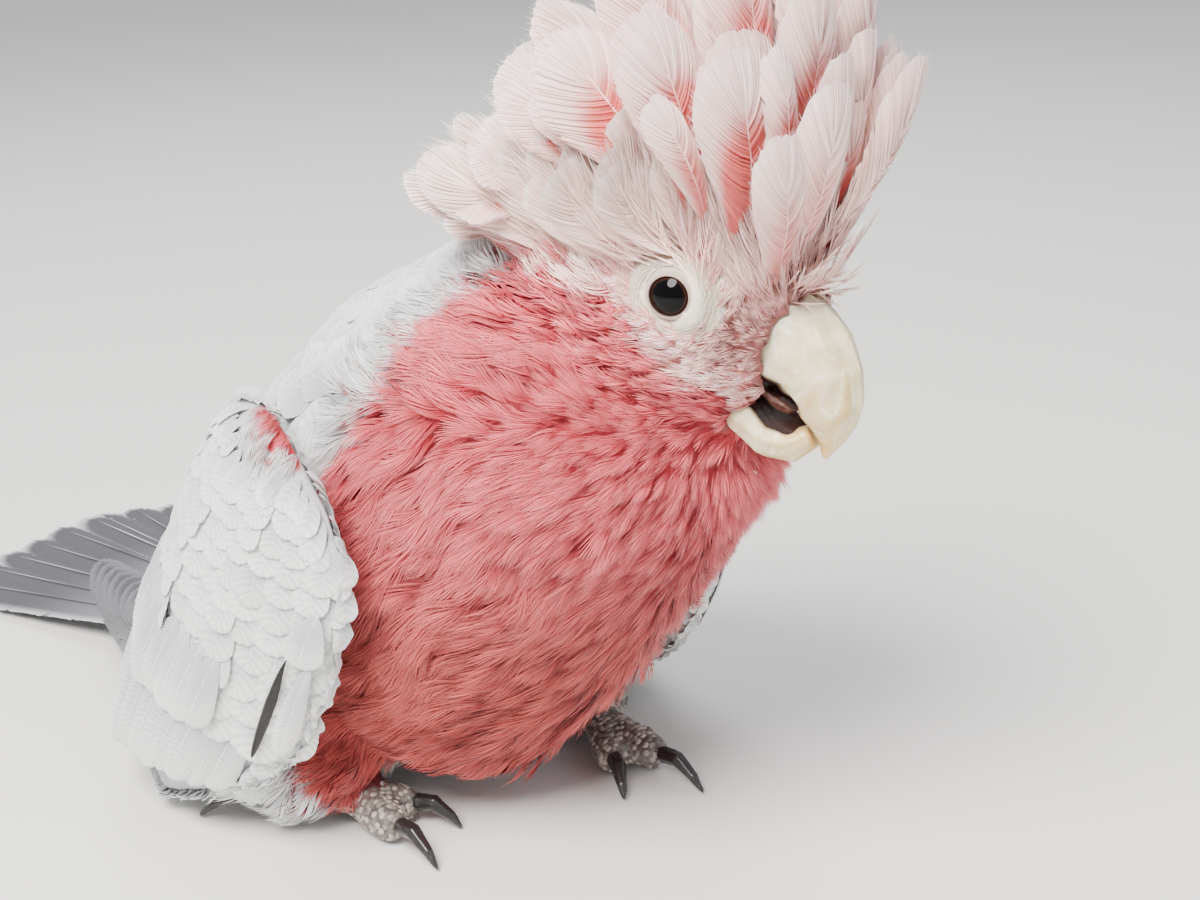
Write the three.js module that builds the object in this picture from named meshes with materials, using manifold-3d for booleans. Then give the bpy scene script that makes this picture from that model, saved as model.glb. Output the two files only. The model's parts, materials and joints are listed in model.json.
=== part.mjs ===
// A galah, Eolophus roseicapilla, as a still life-size model with its crest raised.
// Millimetres. +Z is up, the bird looks along -Y, and its left side is at +X.
import * as THREE from "three";
import { mergeVertices } from "three/addons/utils/BufferGeometryUtils.js";
import Module from "manifold-3d";

const wasm = await Module();
wasm.setup();

// Driving dimensions.
const GAP = 0.35; // clearance between neighbouring pieces
const FLOOR = 0; // the level that feet, claws and tail rest on
const V = (x, y, z) => new THREE.Vector3(x, y, z);

// Trunk and neck, along one spine from the rump to the middle of the head.
const BODY = {
  spine: [
    V(0, 84, 16), V(0, 67, 25), V(0, 46, 38), V(0, 24, 50),
    V(1, 2, 66), V(3, -16, 83), V(5, -29, 98), V(6, -38, 111),
  ],
  halfWidth: [8, 24, 36, 40, 38, 36, 33, 23],
  back: [6, 17, 31, 41, 43, 37, 28, 18],
  belly: [8, 22, 38, 51, 46, 41, 36, 26],
  collar: 0.8, // where the neck starts, as a share of the spine
};

// Head, in its own frame: the middle lies between the eyes, and the face looks along -Y.
const HEAD = {
  place: V(5.5, -46, 111),
  turn: { yaw: 15, pitch: 14, tilt: 4 }, // to the bird's left, nose down, and crown to its left, in degrees
  spine: [
    V(0, 29, -5), V(0, 22, -4), V(0, 12, -2), V(0, 0, -1),
    V(0, -9, -1), V(0, -17, -1), V(0, -24.5, -1.5),
  ],
  halfWidth: [8, 16, 20.5, 20.5, 18, 14.2, 10],
  crown: [8, 15, 19.5, 20, 17.8, 14.4, 10],
  chin: [8, 16, 22, 24, 23, 18.5, 9],
};
// Eyes, each in a low mound of bare skin, in the head's frame.
const EYE = { radius: 4.6, at: V(14.6, -8.6, 4.4), mound: { at: V(15.4, -8.4, 4), reach: V(3, 7, 6.5) } };

// Bill, in the head's frame: both halves are swept along their middle line from the base to the tip.
const UPPER_BILL = {
  line: [
    V(0, -16.5, 0), V(0, -22, -0.5), V(0, -27, -3),
    V(0, -30.8, -7.5), V(0, -32.4, -12.2), V(0, -32.6, -16.6),
  ],
  halfWidth: [7.4, 7.9, 7.1, 5.4, 3.3, 1],
  ridge: [6.6, 7.4, 7, 5.2, 3.2, 1.1],
  mouth: [7, 9, 8.6, 6.2, 3.4, 1],
};
const LOWER_BILL = {
  line: [V(0, -13, -9.5), V(0, -18, -13), V(0, -23.5, -15.6), V(0, -27.8, -15), V(0, -30, -12.2)],
  halfWidth: [5, 6.6, 6.4, 4.8, 2.6],
  inside: [3, 3.6, 3.2, 2.2, 1.0],
  outside: [3, 4.6, 4.6, 3.4, 1.4],
};
const TONGUE = {
  line: [V(0, -14, -6.8), V(0, -20.5, -9.4), V(0, -26.4, -11)],
  halfWidth: [3, 3.4, 2.6],
  thickness: [2, 2.4, 1.9],
};

// Raised crest: rows of broad feathers from the forehead to the nape, each row fanned out sideways.
const CREST = {
  rows: [
    { y: -17, z: 10, spread: 5, count: 3, length: 40, width: 16, lean: -17, flare: 20 },
    { y: -12, z: 15, spread: 8, count: 4, length: 45, width: 17, lean: -6, flare: 26 },
    { y: -6, z: 18, spread: 10, count: 4, length: 44, width: 18, lean: 8, flare: 30 },
    { y: 1, z: 18.5, spread: 11, count: 4, length: 39, width: 19, lean: 24, flare: 31 },
    { y: 8, z: 17.5, spread: 12, count: 4, length: 32, width: 19, lean: 42, flare: 32 },
    { y: 15, z: 14, spread: 12, count: 4, length: 24, width: 19, lean: 64, flare: 30 },
    { y: 20, z: 11, spread: 12, count: 4, length: 20, width: 20, lean: 84, flare: 34 },
  ],
  shorter: 0.22, // how much shorter the outermost feather of a row is
  slope: 3, // how much lower its root is
  thickness: 2.6,
  base: {
    line: [V(0, 31, 2), V(0, 20, 9), V(0, 6, 13.5), V(0, -10, 12), V(0, -22, 5)],
    halfWidth: [10, 15, 16, 12, 6],
    above: [8, 8.5, 8.5, 7, 6],
    below: [4, 5, 6, 5, 4],
  },
};

// Folded wings, each a bowed blade from the shoulder to the tips of its secondaries.
const WING = {
  line: [V(42, 2, 89), V(45.5, 6, 79), V(49, 16, 61), V(51.5, 28, 41), V(52, 39, 21), V(52, 46, 2.5)],
  halfWidth: [9, 24, 29, 29, 22, 6],
  thickness: [4, 6, 7, 6, 4, 1.4],
  across: V(-0.2, 0.85, 0.5),
  bow: 0.016, // how fast the blade curves inwards away from its middle line, per mm
  shift: { left: V(0, -3, -4), right: V(0, 0, 0) }, // the left wing is held a little further forward
};
// The stacked flight feathers, which run from under each wing out over the tail.
const FLIGHT = {
  line: [V(40, 44, 24), V(35, 76, 18), V(25, 112, 12.5), V(14, 152, 8)],
  halfWidth: [10, 12, 9, 3.5],
  thickness: [2.2, 2.4, 2, 1.2],
  across: V(-0.66, 0, 0.75),
};

// Tail: six pairs of feathers in a closed fan.
const TAIL = {
  pairs: 6,
  length: 122,
  width: 16,
  thickness: 1.8,
  root: V(0, 72, 15),
  drop: 6.2,
  spreadRoot: 1.4,
  spreadTip: 3.6,
  shorter: 0.012, // how much each pair is shorter than the one inside it
  layer: 0.5, // and how much lower
};

// Feathered thighs, and feet with two toes forward and two back. The bird sits low on its right leg.
const LEGS = {
  left: {
    side: 1,
    thigh: { line: [V(20, 44, 46), V(25, 32, 33), V(27, 22, 18), V(27, 14, 5)], radius: [17, 20, 17, 10] },
    pad: V(26, 5, 5),
    turn: 12,
    splay: 32,
  },
  right: {
    side: -1,
    thigh: { line: [V(-20, 44, 46), V(-27, 34, 33), V(-30, 25, 16), V(-30, 21, 0)], radius: [17, 20, 19, 16] },
    pad: V(-27, 17, 5),
    turn: -17,
    splay: 30,
  },
};
const HEM = 1; // how far the feathers of the thighs stay above the floor
const BOOT_ROOM = 4 * GAP; // and how far all plumage stays from the feet
// A toe's aim is a share of the foot's splay, or an angle towards its back, in degrees.
const FOOT = {
  shank: [V(0, 8, 20), V(0, 5, 11), V(0, 0, 5)], // from inside the thigh down to the pad
  shankRadius: 4.4,
  toes: [
    { name: "inner_front", front: 0.5, back: 0, length: 15, radius: 3.2, claw: 9 },
    { name: "outer_front", front: -0.5, back: 0, length: 18, radius: 3.4, claw: 11.5 },
    { name: "outer_back", front: 0, back: -144, length: 19, radius: 3.3, claw: 10 },
    { name: "inner_back", front: 0, back: 162, length: 12, radius: 3.1, claw: 8 },
  ],
  clawRadius: 1.8,
};

// Value at t, from 0 to 1, on a smooth line through evenly spaced keys.
function along(keys, t) {
  const x = Math.min(Math.max(t, 0), 1) * (keys.length - 1);
  const i = Math.max(Math.min(Math.floor(x), keys.length - 2), 0);
  const key = (n) => keys[Math.min(Math.max(n, 0), keys.length - 1)];
  const f = x - i;
  const [a, b, c, d] = [key(i - 1), key(i), key(i + 1), key(i + 2)];
  return b + 0.5 * f * (c - a + f * (2 * a - 5 * b + 4 * c - d + f * (3 * (b - c) + d - a)));
}

// A closed skin over rings of points, with a single point at each end.
function skinOver(first, rings, last) {
  const count = rings[0].length;
  const points = [first, ...rings.flat(), last];
  const index = [];
  const at = (ring, i) => 1 + ring * count + (i % count);
  for (let i = 0; i < count; i++) {
    index.push(0, at(0, i + 1), at(0, i));
    for (let r = 0; r < rings.length - 1; r++) {
      index.push(at(r, i), at(r, i + 1), at(r + 1, i));
      index.push(at(r, i + 1), at(r + 1, i + 1), at(r + 1, i));
    }
    index.push(points.length - 1, at(rings.length - 1, i), at(rings.length - 1, i + 1));
  }
  return new THREE.BufferGeometry().setFromPoints(points).setIndex(index);
}

// A body swept along a line of points, with its own half width, and its own reach above and below the line.
// The ends are rounded over their first and last `round` share of the length, and `grow` swells it all round.
function sweep(settings) {
  const { line, halfWidth, above, below = above, across = V(1, 0, 0) } = settings;
  const { rings, count, round, grow = 0, bow = 0 } = settings;
  const curve = new THREE.CatmullRomCurve3(line, false, "centripetal");
  const made = [];
  const ends = [];
  for (let r = -1; r <= rings; r++) {
    const t = 0.5 - 0.5 * Math.cos((Math.PI * (r + 1)) / (rings + 1));
    const centre = curve.getPoint(t);
    const tangent = curve.getTangent(t);
    const side = across.clone().addScaledVector(tangent, -across.dot(tangent)).normalize();
    const up = new THREE.Vector3().crossVectors(tangent, side);
    const end = Math.min(t, 1 - t) / round;
    const swell = end < 1 ? Math.sqrt(Math.max(1 - (1 - end) ** 2, 0)) : 1;
    if (r === -1 || r === rings) {
      ends.push(centre.addScaledVector(tangent, (r === -1 ? -1 : 1) * grow));
      continue;
    }
    const wide = along(halfWidth, t) * swell + grow;
    made.push(
      Array.from({ length: count }, (_, i) => {
        const angle = (2 * Math.PI * i) / count;
        const reach = (Math.sin(angle) > 0 ? along(above, t) : along(below, t)) * swell + grow;
        const s = wide * Math.cos(angle);
        return centre
          .clone()
          .addScaledVector(side, s)
          .addScaledVector(up, reach * Math.sin(angle) - bow * s * s);
      }),
    );
  }
  return facingOut(skinOver(ends[0], made, ends[1]));
}

// A flat feather from root to tip: broad to near its round end, with `face` pointing out of its upper side.
function feather({ root, tip, face, width, thickness, count, grow = 0 }) {
  const shape = [0.5, 0.9, 1, 1, 0.8];
  return sweep({
    line: [root, root.clone().lerp(tip, 0.5), tip],
    halfWidth: shape.map((s) => (s * width) / 2),
    above: [thickness / 2, thickness / 2],
    across: new THREE.Vector3().crossVectors(tip.clone().sub(root), face).normalize(),
    rings: 3,
    count,
    round: 0.16,
    grow,
  });
}

function facingOut(geometry) {
  const p = geometry.getAttribute("position");
  const index = geometry.getIndex().array;
  const [a, b, c] = [V(0, 0, 0), V(0, 0, 0), V(0, 0, 0)];
  let volume = 0;
  for (let i = 0; i < index.length; i += 3) {
    [a, b, c].forEach((v, k) => v.fromBufferAttribute(p, index[i + k]));
    volume += a.dot(b.cross(c));
  }
  for (let i = 0; volume < 0 && i < index.length; i += 3) {
    [index[i], index[i + 1]] = [index[i + 1], index[i]];
  }
  return geometry;
}

// Between three.js geometry and solids that can be joined and cut.
function solidOf(geometry, matrix = new THREE.Matrix4()) {
  const bare = new THREE.BufferGeometry()
    .setAttribute("position", geometry.getAttribute("position").clone())
    .setIndex(geometry.getIndex())
    .applyMatrix4(matrix);
  const merged = mergeVertices(bare, 1e-4);
  const vertProperties = merged.getAttribute("position").array;
  const triVerts = new Uint32Array(merged.index.array);
  return new wasm.Manifold(new wasm.Mesh({ numProp: 3, vertProperties, triVerts }));
}
function geometryOf(solid) {
  const mesh = solid.getMesh();
  const geometry = new THREE.BufferGeometry();
  const position = new THREE.BufferAttribute(new Float32Array(mesh.vertProperties), mesh.numProp);
  geometry.setAttribute("position", position);
  geometry.setIndex(new THREE.BufferAttribute(new Uint32Array(mesh.triVerts), 1));
  geometry.computeVertexNormals();
  return geometry;
}
const joined = (solids) => solids.reduce((a, b) => a.add(b));
const cutBy = (solid, ...cutters) => cutters.reduce((a, b) => a.subtract(b), solid);
const largest = (solid) => solid.decompose().sort((a, b) => b.volume() - a.volume())[0];
const mirrored = (solid) => solid.transform(new THREE.Matrix4().makeScale(-1, 1, 1).elements);

// A slab that hides everything on the side of a plane that `normal` points to.
function halfSpace(point, normal, size = 400) {
  const slab = new THREE.BoxGeometry(size, size, size).translate(0, 0, size / 2);
  const turned = new THREE.Matrix4().makeRotationFromQuaternion(
    new THREE.Quaternion().setFromUnitVectors(V(0, 0, 1), normal.clone().normalize()),
  );
  return solidOf(slab, turned.setPosition(point));
}
const ground = halfSpace(V(0, 0, FLOOR), V(0, 0, -1));

const model = new THREE.Group();
model.name = "galah";
const COLOURS = {
  rose: 0xd9667a,
  pale: 0xf0d8d6,
  grey: 0xd3d5d4,
  dark: 0x6d7073,
  horn: 0xe9e1c4,
  flesh: 0x8f7a74,
  black: 0x120d0b,
  claw: 0x2b2b2d,
  foot: 0x8d8781,
};
function place(name, solid, colour, roughness = 0.8) {
  const material = new THREE.MeshStandardMaterial({ color: COLOURS[colour], roughness, metalness: 0 });
  const mesh = new THREE.Mesh(geometryOf(solid), material);
  mesh.name = name;
  model.add(mesh);
}

const degrees = THREE.MathUtils.degToRad;
const { yaw, pitch, tilt } = HEAD.turn;
const headTurn = new THREE.Euler(degrees(pitch), degrees(tilt), degrees(yaw), "ZYX");
const headFrame = new THREE.Matrix4().makeRotationFromEuler(headTurn).setPosition(HEAD.place);

// Each shape is made at its true size, or swollen by `grow` to cut its neighbours.
function headShape(grow) {
  const { spine, halfWidth, crown, chin } = HEAD;
  const skull = { line: spine, halfWidth, above: crown, below: chin, rings: 10, count: 14, round: 0.12, grow };
  return solidOf(sweep(skull), headFrame);
}
function bodyShape(grow) {
  const { spine, halfWidth, back, belly } = BODY;
  const section = { halfWidth, above: back, below: belly };
  return solidOf(sweep({ line: spine, ...section, rings: 12, count: 20, round: 0.06, grow }));
}
function eyeMound(side) {
  const { at, reach } = EYE.mound;
  const mound = new THREE.SphereGeometry(1, 12, 7).rotateZ(Math.PI / 2).scale(reach.x, reach.y, reach.z);
  return solidOf(mound.translate(side * at.x, at.y, at.z), headFrame);
}
function eyeShape(side, grow) {
  const { radius, at } = EYE;
  const ball = new THREE.SphereGeometry(radius + grow, 10, 7).rotateZ(Math.PI / 2);
  return solidOf(ball.translate(side * at.x, at.y, at.z), headFrame);
}

// Bill and tongue.
function upperBill(grow) {
  const { line, halfWidth, ridge, mouth } = UPPER_BILL;
  const settings = { line, halfWidth, above: ridge, below: mouth, rings: 11, count: 12, round: 0.05, grow };
  return solidOf(sweep(settings), headFrame);
}
function lowerBill(grow) {
  const { line, halfWidth, inside, outside } = LOWER_BILL;
  const settings = { line, halfWidth, above: inside, below: outside, rings: 7, count: 10, round: 0.12, grow };
  return solidOf(sweep(settings), headFrame);
}
function tongueShape(grow) {
  const { line, halfWidth, thickness } = TONGUE;
  const settings = { line, halfWidth, above: thickness, rings: 4, count: 8, round: 0.2, grow };
  return solidOf(sweep(settings), headFrame);
}

// Crest: each row stands across the crown and fans out sideways from a common base.
function crestShape() {
  const { line, halfWidth, above, below } = CREST.base;
  const base = sweep({ line, halfWidth, above, below, rings: 6, count: 12, round: 0.15 });
  const pieces = [solidOf(base, headFrame)];
  for (const { y, z, spread, count, length, width, lean, flare } of CREST.rows) {
    const back = degrees(lean);
    for (let i = 0; i < count; i++) {
      const share = (2 * i) / (count - 1) - 1;
      const out = degrees(flare) * share;
      const heading = V(Math.sin(out), Math.cos(out) * Math.sin(back), Math.cos(out) * Math.cos(back));
      const root = V(spread * share, y, z - CREST.slope * share * share);
      const tip = root.clone().addScaledVector(heading, length * (1 - CREST.shorter * share * share));
      const face = V(0, -Math.cos(back), Math.sin(back));
      const blade = feather({ root, tip, face, width, thickness: CREST.thickness, count: 4 });
      pieces.push(solidOf(blade, headFrame));
    }
  }
  return joined(pieces);
}

// Wings and flight feathers are made for the left side, then mirrored.
function wingShape(grow) {
  const { line, halfWidth, thickness, across, bow } = WING;
  const settings = { line, halfWidth, above: thickness, across, rings: 12, count: 12, round: 0.12, bow, grow };
  return solidOf(sweep(settings));
}
function flightShape(grow) {
  const { line, halfWidth, thickness, across } = FLIGHT;
  return solidOf(sweep({ line, halfWidth, above: thickness, across, rings: 8, count: 10, round: 0.1, grow }));
}

function tailShape(grow) {
  const { pairs, length, width, thickness, root, drop, spreadRoot, spreadTip } = TAIL;
  const feathers = [];
  const fall = degrees(drop);
  for (let i = 0; i < pairs; i++) {
    for (const side of [-1, 1]) {
      const out = side * (i + 0.5);
      const long = length * (1 - TAIL.shorter * i);
      const from = root.clone().add(V(out * spreadRoot, 0, -TAIL.layer * i));
      const to = from.clone().add(V(out * spreadTip, Math.cos(fall) * long, -Math.sin(fall) * long));
      const face = V(side * 0.12, 0, 1);
      feathers.push(solidOf(feather({ root: from, tip: to, face, width, thickness, count: 4, grow })));
    }
  }
  return joined(feathers);
}

function thighShape({ line, radius }, grow) {
  return solidOf(sweep({ line, halfWidth: radius, above: radius, rings: 6, count: 11, round: 0.16, grow }));
}

// One foot: a stout scaly shank and four toes, each ending in a curved claw.
function footShapes({ side, pad, turn, splay }, grow, count = 7) {
  const { shank, shankRadius, toes, clawRadius } = FOOT;
  const tube = (line, radius, settings) => {
    return solidOf(sweep({ line, halfWidth: radius, above: radius, grow, ...settings }));
  };
  const ankle = shank.map((p) => V(pad.x + p.x, pad.y + p.y, p.z));
  const flesh = [tube(ankle, [shankRadius * 1.2, shankRadius, shankRadius], { rings: 3, count, round: 0.2 })];
  const claws = {};
  for (const toe of toes) {
    const aim = degrees(turn + side * (toe.front * splay + toe.back));
    const heading = V(-Math.sin(aim), -Math.cos(aim), 0);
    const across = V(-heading.y, heading.x, 0);
    const at = (forward, height) => pad.clone().addScaledVector(heading, forward).setZ(height);
    const { length: long, radius: r, claw: reach } = toe;
    const bones = [at(-1, 4.6), at(long * 0.33, r * 1.4), at(long * 0.66, r * 1.25), at(long, r * 1.05)];
    flesh.push(tube(bones, [r * 1.3, r, r * 1.1, r * 0.9], { across, rings: count - 3, count, round: 0.14 }));
    const c = clawRadius;
    const arch = [at(long - 1.5, r + 1), at(long + reach * 0.35, r + 1.8)];
    const point = [at(long + reach * 0.75, r - 0.6), at(long + reach, 0.2)];
    const taper = [c, c * 0.95, c * 0.6, 0.3];
    claws[toe.name] = tube([...arch, ...point], taper, { across, rings: 4, count: 6, round: 0.06 });
  }
  return { flesh: joined(flesh), claws };
}

// The body is parted by a thin slot at the collar, and the neck ends at the head's own outline.
const bodySpine = new THREE.CatmullRomCurve3(BODY.spine, false, "centripetal");
const collar = bodySpine.getPoint(BODY.collar);
const collarAim = bodySpine.getTangent(BODY.collar);
const aboveCollar = halfSpace(collar.clone().addScaledVector(collarAim, -GAP / 2), collarAim);
const belowCollar = halfSpace(collar.clone().addScaledVector(collarAim, GAP / 2), collarAim.clone().negate());

// Each piece is cut by the grown outlines of the pieces that it meets.
const headGrown = headShape(GAP);
const bodyGrown = bodyShape(GAP);
const mouthGrown = [upperBill(GAP), lowerBill(GAP), tongueShape(GAP)];
const eyesGrown = [eyeShape(-1, GAP), eyeShape(1, GAP)];
const tailGrown = tailShape(GAP);
const boots = Object.values(LEGS).flatMap((leg) => {
  const { flesh, claws } = footShapes(leg, BOOT_ROOM, 6); // coarser than the feet, and clear of them all round
  return [flesh, ...Object.values(claws)];
});

const wholeHead = joined([headShape(0), eyeMound(-1), eyeMound(1)]);
place("head", largest(cutBy(wholeHead, ...eyesGrown, ...mouthGrown)), "pale");
place("crest", largest(cutBy(crestShape(), headGrown, ...eyesGrown, mouthGrown[0], bodyGrown)), "pale");
place("bill_upper", upperBill(0), "horn", 0.45);
place("bill_lower", largest(cutBy(lowerBill(0), mouthGrown[0])), "horn", 0.45);
place("tongue", largest(cutBy(tongueShape(0), mouthGrown[0], mouthGrown[1])), "flesh", 0.5);
place("eye_left", eyeShape(1, 0), "black", 0.1);
place("eye_right", eyeShape(-1, 0), "black", 0.1);

const body = cutBy(bodyShape(0), headGrown, ...mouthGrown, tailGrown, ...boots);
place("neck", largest(cutBy(body, belowCollar)), "rose");
place("trunk", largest(cutBy(body, aboveCollar)), "rose");
place("tail", largest(cutBy(tailShape(0), ground)), "grey");

for (const [name, leg] of Object.entries(LEGS)) {
  const shifted = WING.shift[name];
  const sided = (solid) => (leg.side > 0 ? solid : mirrored(solid));
  const fitted = (solid) => sided(solid).translate(shifted.x, shifted.y, shifted.z);
  const thighGrown = thighShape(leg.thigh, GAP);
  const others = [bodyGrown, headGrown, tailGrown, thighGrown, ...boots, ground];
  place("wing_" + name, largest(cutBy(fitted(wingShape(0)), ...others)), "grey");
  place("flight_" + name, largest(cutBy(fitted(flightShape(0)), fitted(wingShape(GAP)), ...others)), "dark");
  const hem = halfSpace(V(0, 0, FLOOR + HEM), V(0, 0, -1));
  place("leg_" + name, largest(cutBy(thighShape(leg.thigh, 0), bodyGrown, tailGrown, ...boots, hem)), "rose");
  const { flesh, claws } = footShapes(leg, 0);
  const fleshGrown = footShapes(leg, GAP).flesh;
  place("foot_" + name, largest(cutBy(flesh, ground)), "foot");
  for (const [toe, claw] of Object.entries(claws)) {
    place(`claw_${name}_${toe}`, largest(cutBy(claw, fleshGrown, ground)), "claw", 0.35);
  }
}

// The origin sits on the floor, at the middle of the whole model.
const middle = new THREE.Box3().setFromObject(model).getCenter(V(0, 0, 0));
model.position.set(-middle.x, -middle.y, -FLOOR);

export default model;
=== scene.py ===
# A galah with its crest raised, as a still, life-size museum model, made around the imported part.
# Metres, with the floor at z = 0. The bird looks along -Y and its left side is at +X.
import json
import math

import bmesh
import bpy
import numpy as np
from mathutils import Euler, Matrix, Vector
from mathutils.bvhtree import BVHTree
from mathutils.kdtree import KDTree

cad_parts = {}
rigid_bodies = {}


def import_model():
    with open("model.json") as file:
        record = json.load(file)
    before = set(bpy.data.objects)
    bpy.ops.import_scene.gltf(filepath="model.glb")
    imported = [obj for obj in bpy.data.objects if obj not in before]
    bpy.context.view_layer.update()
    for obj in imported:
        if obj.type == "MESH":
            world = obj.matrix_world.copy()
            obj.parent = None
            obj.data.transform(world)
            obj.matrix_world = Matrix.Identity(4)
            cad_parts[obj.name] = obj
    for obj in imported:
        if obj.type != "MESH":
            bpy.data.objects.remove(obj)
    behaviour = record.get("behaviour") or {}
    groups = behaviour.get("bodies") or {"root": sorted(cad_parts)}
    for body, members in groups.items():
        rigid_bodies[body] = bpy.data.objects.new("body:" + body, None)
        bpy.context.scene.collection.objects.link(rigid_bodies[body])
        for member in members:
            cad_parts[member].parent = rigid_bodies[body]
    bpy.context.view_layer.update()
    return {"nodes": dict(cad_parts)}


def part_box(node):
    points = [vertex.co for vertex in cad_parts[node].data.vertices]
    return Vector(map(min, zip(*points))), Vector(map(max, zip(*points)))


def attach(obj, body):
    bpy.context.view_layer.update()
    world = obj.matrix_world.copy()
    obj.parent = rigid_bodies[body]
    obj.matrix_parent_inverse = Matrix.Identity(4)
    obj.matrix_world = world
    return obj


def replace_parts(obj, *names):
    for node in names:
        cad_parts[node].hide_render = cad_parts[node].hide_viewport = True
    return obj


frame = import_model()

mm = 0.001
scene = bpy.context.scene


def middle(node):
    low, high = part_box(node)
    return np.array((low + high) / 2)


def unit(vectors):
    return vectors / np.maximum(np.linalg.norm(vectors, axis=-1, keepdims=True), 1e-12)


def fade(values, low, high):
    share = np.clip((values - low) / (high - low), 0, 1)
    return share * share * (3 - 2 * share)


def blend(first, second, share):
    return first + (second - first) * share


def dot(first, second):
    return (first * second).sum(-1)


signs = {"left": 1, "right": -1}  # the side of the frame on which each side's parts lie


def towards(azimuth, elevation):
    # the way out from the middle of the scene, from degrees round from the front and degrees up
    around, up = math.radians(azimuth), math.radians(elevation)
    return Vector((math.sin(around) * math.cos(up), -math.cos(around) * math.cos(up), math.sin(up)))


# The head's own frame, in mm: its middle lies between the eyes, and the face looks along -y.
headPose = {"yaw": 15, "tilt": 4, "pitch": 14, "eyeForward": 8.6, "eyeUp": 4.4}
headAngles = [math.radians(headPose[name]) for name in ("pitch", "tilt", "yaw")]
headTurn = np.array(Euler(headAngles, "XYZ").to_matrix())
eyes = {"left": middle("eye_left"), "right": middle("eye_right")}
eyeOffset = headTurn @ np.array([0, -headPose["eyeForward"], headPose["eyeUp"]]) * mm
headPlace = (eyes["left"] + eyes["right"]) / 2 - eyeOffset


def inHead(points):
    return (points - headPlace) @ headTurn / mm


def fromHead(points):
    return np.asarray(points, float) @ headTurn.T * mm + headPlace


# Camera, floor and studio light.
camera = {
    "azimuth": -38, "elevation": 20, "roll": 2,
    "distance": 367 * mm, "lens": 56.1, "nearest": 0.01,
    "aimFromHead": (25.1, 54, -48.8),  # the place it looks at, from the middle of the head, in mm
}


def makeCamera():
    azimuth, roll = math.radians(camera["azimuth"]), math.radians(camera["roll"])
    back = towards(camera["azimuth"], camera["elevation"])
    right = Vector((math.cos(azimuth), math.sin(azimuth), 0))
    up = back.cross(right)
    across = right * math.cos(roll) - up * math.sin(roll)
    above = right * math.sin(roll) + up * math.cos(roll)
    data = bpy.data.cameras.new("camera")
    data.lens = camera["lens"]
    data.clip_start = camera["nearest"]
    thing = bpy.data.objects.new("camera", data)
    scene.collection.objects.link(thing)
    aim = Vector(headPlace) + Vector(camera["aimFromHead"]) * mm
    facing = Matrix((across, above, back)).transposed().to_4x4()
    thing.matrix_world = Matrix.Translation(aim + back * camera["distance"]) @ facing
    scene.camera = thing


lights = {
    "aim": (0, -0.06, 0.07),
    "world": (0.92, 0.95, 1.0), "worldStrength": 0.74,
    "key": {"from": (-62, 52), "distance": 0.75, "size": 0.42, "power": 18, "colour": (1, 0.97, 0.93)},
    "fill": {"from": (35, 25), "distance": 1.0, "size": 0.7, "power": 1.2, "colour": (0.95, 0.97, 1)},
    "rim": {"from": (150, 50), "distance": 0.9, "size": 0.5, "power": 4.5, "colour": (1, 1, 1)},
}


def makeLights():
    aim = Vector(lights["aim"])
    for name in ("key", "fill", "rim"):
        setting = lights[name]
        back = towards(*setting["from"])
        data = bpy.data.lights.new(name, "AREA")
        data.shape = "DISK"
        data.size = setting["size"]
        data.energy = setting["power"]
        data.color = setting["colour"]
        thing = bpy.data.objects.new(name, data)
        scene.collection.objects.link(thing)
        thing.location = aim + back * setting["distance"]
        thing.rotation_euler = back.to_track_quat("Z", "Y").to_euler()
    world = bpy.data.worlds.new("studio")
    world.use_nodes = True
    background = world.node_tree.nodes["Background"]
    background.inputs["Color"].default_value = (*lights["world"], 1)
    background.inputs["Strength"].default_value = lights["worldStrength"]
    scene.world = world


# Shader maths: a socket that takes part in sums, and a material that is built from them.
class Socket:
    def __init__(self, shader, link):
        self.shader = shader
        self.link = link

    def math(self, operation, first, second):
        return self.shader.add("ShaderNodeMath", {"operation": operation}, {0: first, 1: second})

    def __add__(self, other):
        return self.math("ADD", self, other)

    def __radd__(self, other):
        return self.math("ADD", other, self)

    def __sub__(self, other):
        return self.math("SUBTRACT", self, other)

    def __rsub__(self, other):
        return self.math("SUBTRACT", other, self)

    def __mul__(self, other):
        return self.math("MULTIPLY", self, other)

    def __rmul__(self, other):
        return self.math("MULTIPLY", other, self)


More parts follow.
